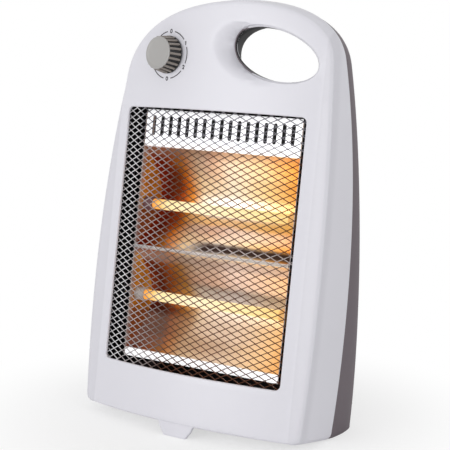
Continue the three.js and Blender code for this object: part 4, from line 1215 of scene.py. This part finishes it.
def makeDialRibs():
    tree = GeometryTree("dialRibs", {
        "Ribs": dial["ribs"], "Base radius": (dial["radius"] - 0.55) / 1000,
        "Top radius": (dial["faceRadius"] - 0.6) / 1000, "Rib radius": dial["ribRadius"] / 1000,
        "Low": 2.0 / 1000, "High": 14.6 / 1000})
    count, base, top, thick, low, high = tree.sizes
    line = tree.add("GeometryNodeCurvePrimitiveLine", {}, {
        "Start": tree.vector(base, 0.0, low), "End": tree.vector(top, 0.0, high)})
    points = tree.add("GeometryNodePoints", {}, {"Count": count})
    turn = tree.add("GeometryNodeInputIndex") * (2 * math.pi) / count
    ribs = tree.add("GeometryNodeInstanceOnPoints", {}, {
        "Points": points, "Instance": tree.tube(line, 10, thick),
        "Rotation": tree.vector(z=turn)})
    piece = tree.finish("dialRibs", ribs, "dialRibs")
    for vertex in piece.data.vertices:
        across, up, outward = vertex.co * 1000
        vertex.co = place(*onDial(outward, across, up))
    return piece


def ribbon(skin, path, width, closed=False):
    # a thin printed stroke that follows the curve of the face
    sections = []
    for i, point in enumerate(path):
        before = path[i - 1] if closed or i else point
        after = path[(i + 1) % len(path)] if closed or i + 1 < len(path) else point
        run = (after - before).normalized() * width / 2
        left, right = point + Vector((-run.y, run.x)), point + Vector((run.y, -run.x))
        corners = [(left, -0.09), (right, -0.09), (right, 0.04), (left, 0.04)]
        sections.append(skin.ring([(q.x, faceDepth(q.x) + lift, q.y) for q, lift in corners]))
    for a, b in zip(sections, sections[1:] + sections[:1] if closed else sections[1:]):
        skin.bridge(a, b)
    if not closed:
        skin.cap(sections[0])
        skin.cap(sections[-1], flip=True)


def makeScale():
    centre, radius = Vector((dial["x"], dial["height"])), dial["ring"]
    skin = Skin()
    for start, end in ((102, 258), (-78, -41), (-20, 20), (41, 78)):
        steps = max(6, round((end - start) / 4))
        angles = [math.radians(start + (end - start) * k / steps) for k in range(steps + 1)]
        arc = [centre + Vector((math.cos(a), math.sin(a))) * radius for a in angles]
        ribbon(skin, arc, dial["arc"])
    nought = [Vector((1.25 * math.cos(k * math.pi / 10), 1.9 * math.sin(k * math.pi / 10)))
              for k in range(20)]
    one = [Vector(p) for p in ((-0.9, 1.1), (-0.2, 1.5), (0.25, 2.1), (0.25, 0), (0.25, -2))]
    two = [Vector(p) for p in ((-1.15, 1.0), (-0.8, 1.7), (0, 2.0), (0.85, 1.7), (1.1, 0.95),
                               (0.75, 0.15), (-0.2, -0.85), (-1.1, -1.75), (0, -1.8), (1.25, -1.8))]
    for shape, angle, closed in ((nought, 90, True), (one, 30, False), (two, -30, False),
                                 (nought, -90, True)):
        turn = math.radians(angle)
        middle = centre + Vector((math.cos(turn), math.sin(turn))) * radius
        ribbon(skin, [middle + p * dial["numeral"] for p in shape], dial["stroke"], closed)
    return skin.build("dialScale", angle=40)


screws = {
    "head": 3.4, "headHeight": 2.4, "shank": 1.65, "shankLength": 11, "recess": 3.9,
    "recessWidth": 0.85, "recessDepth": 1.3,
}


def makeScrews(name, points, facing):
    # the screws stand on the points of the piece's own mesh, heads towards facing
    tree = GeometryTree(name, {
        "Head radius": screws["head"] / 1000, "Head height": screws["headHeight"] / 1000,
        "Shank radius": screws["shank"] / 1000, "Shank length": screws["shankLength"] / 1000,
        "Recess length": screws["recess"] / 1000, "Recess width": screws["recessWidth"] / 1000,
        "Recess depth": screws["recessDepth"] / 1000})
    headRadius, high, shankRadius, long, recessLength, recessWidth, recessDepth = tree.sizes
    head = tree.add("GeometryNodeMeshCone", {}, {
        "Vertices": 28, "Radius Bottom": headRadius, "Radius Top": headRadius * 0.72,
        "Depth": high})
    shank = tree.moved(
        tree.add("GeometryNodeMeshCylinder", {}, {
            "Vertices": 20, "Radius": shankRadius, "Depth": long}),
        Translation=tree.vector(z=long * -0.48))
    arms = [tree.moved(tree.add("GeometryNodeMeshCube", {}, {"Size": tree.vector(*sides)}),
                       Translation=tree.vector(z=high))
            for sides in ((recessLength, recessWidth, recessDepth),
                          (recessWidth, recessLength, recessDepth))]
    whole = tree.add("GeometryNodeMeshBoolean", {"operation": "UNION"}, {1: [head, shank]})
    body = tree.add("GeometryNodeMeshBoolean", {"operation": "DIFFERENCE"}, {0: whole, 1: arms})
    copies = tree.add("GeometryNodeInstanceOnPoints", {}, {
        "Points": tree.points, "Instance": body, "Rotation": (-facing * math.pi / 2, 0, 0)})
    piece = tree.finish(name, copies, "galvanised", [Vector(p) / 1000 for p in points])
    piece.data.set_sharp_from_angle(angle=math.radians(30))
    return leanAll(piece)


spring = {"turns": 6.0, "wire": 0.4, "squash": 0.34}


def makeSpring():
    low, high = [Vector(corner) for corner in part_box("tip_over_spring")]
    wire = spring["wire"] / 1000
    tree = GeometryTree("tipOverSpring", {
        "Turns": spring["turns"], "Wire radius": wire, "Coil radius": (high.x - low.x) / 2 - wire,
        "Height": high.z - low.z - 2 * wire})
    turns, wireRadius, radius, height = tree.sizes
    coil = tree.tube(tree.spiral(28, turns, radius, height), 8, wireRadius)
    piece = tree.finish("tipOverSpring", coil, "galvanised")
    middle = (low + high) / 2
    for vertex in piece.data.vertices:
        vertex.co += Vector((middle.x, middle.y, low.z + wire))
    return piece


def makeAll():
    finished(makeFrontShell(), "shellWhite innerDark", ["front_shell"])
    finished(makeFoot(), "shellWhite")
    print("front shell and foot made")
    shell = finished(makeRearShell(), "shellPlum innerDark boreDark",
                     ["rear_shell"])
    print("rear shell made:", len(shell.data.polygons), "faces")
    finished(makeGuard(), "guardChrome", ["guard_mesh"])
    finished(makeReflector(), "polishedSheet", ["reflector"])
    finished(makeSlotShade(), "innerDark")
    print("guard and reflector made")
    for level, leftCap in (("upper", "hotCeramic"), ("lower", "ceramic")):
        finished(makeTube(level), "quartz", [f"quartz_tube_{level}"])
        finished(makeCoil(level), "hotWire", [f"heating_coil_{level}"])
        for side, word, finish in ((-1, "left", leftCap), (1, "right", "litCeramic")):
            finished(makeCap(level, side, word), finish, [f"end_cap_{level}_{word}"])
    print("heating elements made")
    finished(makeDialCore(), "blackPlastic", body="dial")
    finished(makeDialFace(), "dialGrey", ["control_knob"], "dial")
    finished(makeDialRibs(), "dialRibs", ["control_knob"], "dial")
    finished(makeScale(), "printGrey")
    print("dial made")
    heads = [(x, seamDepth(z) + rear["wellFloor"] + screws["headHeight"] / 2, z)
             for x, z in rear["wells"]]
    finished(makeScrews("shellScrews", heads, 1), "galvanised",
             [f"shell_screw_{i + 1}" for i in range(len(heads))])
    coil = finished(makeSpring(), "galvanised", ["tip_over_spring"])
    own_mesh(coil)
    print("screws and spring made")


carried = {
    "end_plate": "endSheet", "heat_shield": "galvanised", "switch_shaft": "galvanised",
    "tip_over_bracket": "galvanised", "frame_screw": "galvanised", "thermal_cutout": "phenolic",
    "rotary_switch": "phenolic", "tip_over_switch": "phenolic", "terminal_block": "ceramic",
    "terminal_pin": "brass", "cord_inlet_bush": "rubber", "tip_over_plunger": "shellWhite",
    "shell_screw": "galvanised", "end_cap": "ceramic", "quartz_tube": "quartz",
    "heating_coil": "hotWire", "tip_over_spring": "galvanised", "control_knob": "dialGrey",
    "front_shell": "shellWhite", "rear_shell": "shellPlum", "guard_mesh": "guardChrome",
    "reflector": "polishedSheet",
}


def dressCarried():
    # every solid kept from the frame gets its finish in its own material slots
    for name, node in frame["nodes"].items():
        word = next((word for word in carried if name.startswith(word)), None)
        if word is None:
            print("no finish for", name)
            continue
        material = finishes[carried[word]]
        if not node.material_slots:
            node.data.materials.append(material)
        for slot in node.material_slots:
            slot.material = material


stageSizes = {"radius": 4.0, "near": 0.1, "far": 0.3, "floor": 0.96, "daylight": 0.55}
view = {"place": (700.5, -1020.6, 414.7), "target": (29.63, -24.41, 197.29), "lens": 106.66,
        "roll": 0.067}
lamps = {
    "key": {"place": (-0.7, -1.9, 0.6), "size": 1.2, "power": 14.5},
    "fill": {"place": (1.9, -0.7, 0.8), "size": 1.4, "power": 8},
    "top": {"place": (0.2, 0.5, 1.9), "size": 1.0, "power": 1.5},
}


def makeFloor():
    finish = Finish("floorPale", Roughness=0.9)
    spots = finish.noise(3, 2)
    colour = finish.mix(spots, shaded((1, 1, 1), stageSizes["floor"]),
                        shaded((1, 1, 1), stageSizes["floor"] + 0.01))
    finish.set(Base_Color=colour)
    x, y, _ = finish.axes(finish.where())
    away = finish.maths("SQRT", x * x + y * y)
    seen = finish.add("ShaderNodeLightPath", output=0)
    bright = finish.add("ShaderNodeEmission", {}, {"Color": (1, 1, 1, 1), "Strength": 1.0})
    base = Value(finish, finish.shader.outputs[0])
    both = finish.add("ShaderNodeMixShader", {}, {
        0: (away.step(stageSizes["near"], stageSizes["far"]) * 0.4 + 0.6) * seen, 1: base,
        2: bright})
    output = next(n for n in finish.tree.nodes if n.type == "OUTPUT_MATERIAL")
    finish.put(output.inputs["Surface"], both)
    mesh = bmesh.new()
    bmesh.ops.create_circle(mesh, cap_ends=True, segments=96, radius=stageSizes["radius"])
    floor = bpy.data.objects.new("floor", bpy.data.meshes.new("floor"))
    mesh.to_mesh(floor.data)
    mesh.free()
    floor.data.materials.append(finish.material)
    bpy.context.collection.objects.link(floor)


def makeWorld():
    # white to the camera and in reflections, softer as a light
    world = bpy.data.worlds.new("studio")
    bpy.context.scene.world = world
    world.use_nodes = True
    graph = Graph(world.node_tree)
    rays = graph.add("ShaderNodeLightPath").socket.node.outputs
    seen = Value(graph, rays["Is Camera Ray"])
    for word in ("Is Glossy Ray", "Is Transmission Ray"):
        seen = seen.maths("MAXIMUM", seen, Value(graph, rays[word]))
    strength = graph.add("ShaderNodeMapRange", {}, {
        "Value": seen, "To Min": stageSizes["daylight"], "To Max": 1.0})
    background = next(n for n in graph.tree.nodes if n.type == "BACKGROUND")
    graph.put(background.inputs["Color"], (1, 1, 1, 1))
    graph.put(background.inputs["Strength"], strength)


def makeLamps():
    middle = Vector((0, 0, 0.2))
    for name, lamp in lamps.items():
        data = bpy.data.lights.new(name, "AREA")
        data.size, data.energy = lamp["size"], lamp["power"]
        light = bpy.data.objects.new(name, data)
        light.location = lamp["place"]
        light.rotation_mode = "QUATERNION"
        light.rotation_quaternion = (middle - light.location).to_track_quat("-Z", "Y")
        bpy.context.collection.objects.link(light)


def makeCamera():
    camera = bpy.data.objects.new("camera", bpy.data.cameras.new("camera"))
    camera.data.lens, camera.data.sensor_width = view["lens"], 36
    camera.location = Vector(view["place"]) / 1000
    look = (Vector(view["target"]) - Vector(view["place"])).to_track_quat("-Z", "Y")
    camera.rotation_mode = "QUATERNION"
    camera.rotation_quaternion = look @ Matrix.Rotation(math.radians(view["roll"]), 4,
                                                        "Z").to_quaternion()
    bpy.context.collection.objects.link(camera)
    bpy.context.scene.camera = camera


makeCamera()
makeAll()
dressCarried()
makeFloor()
makeWorld()
makeLamps()
bpy.context.scene.view_settings.view_transform = "Standard"
print("stage set")
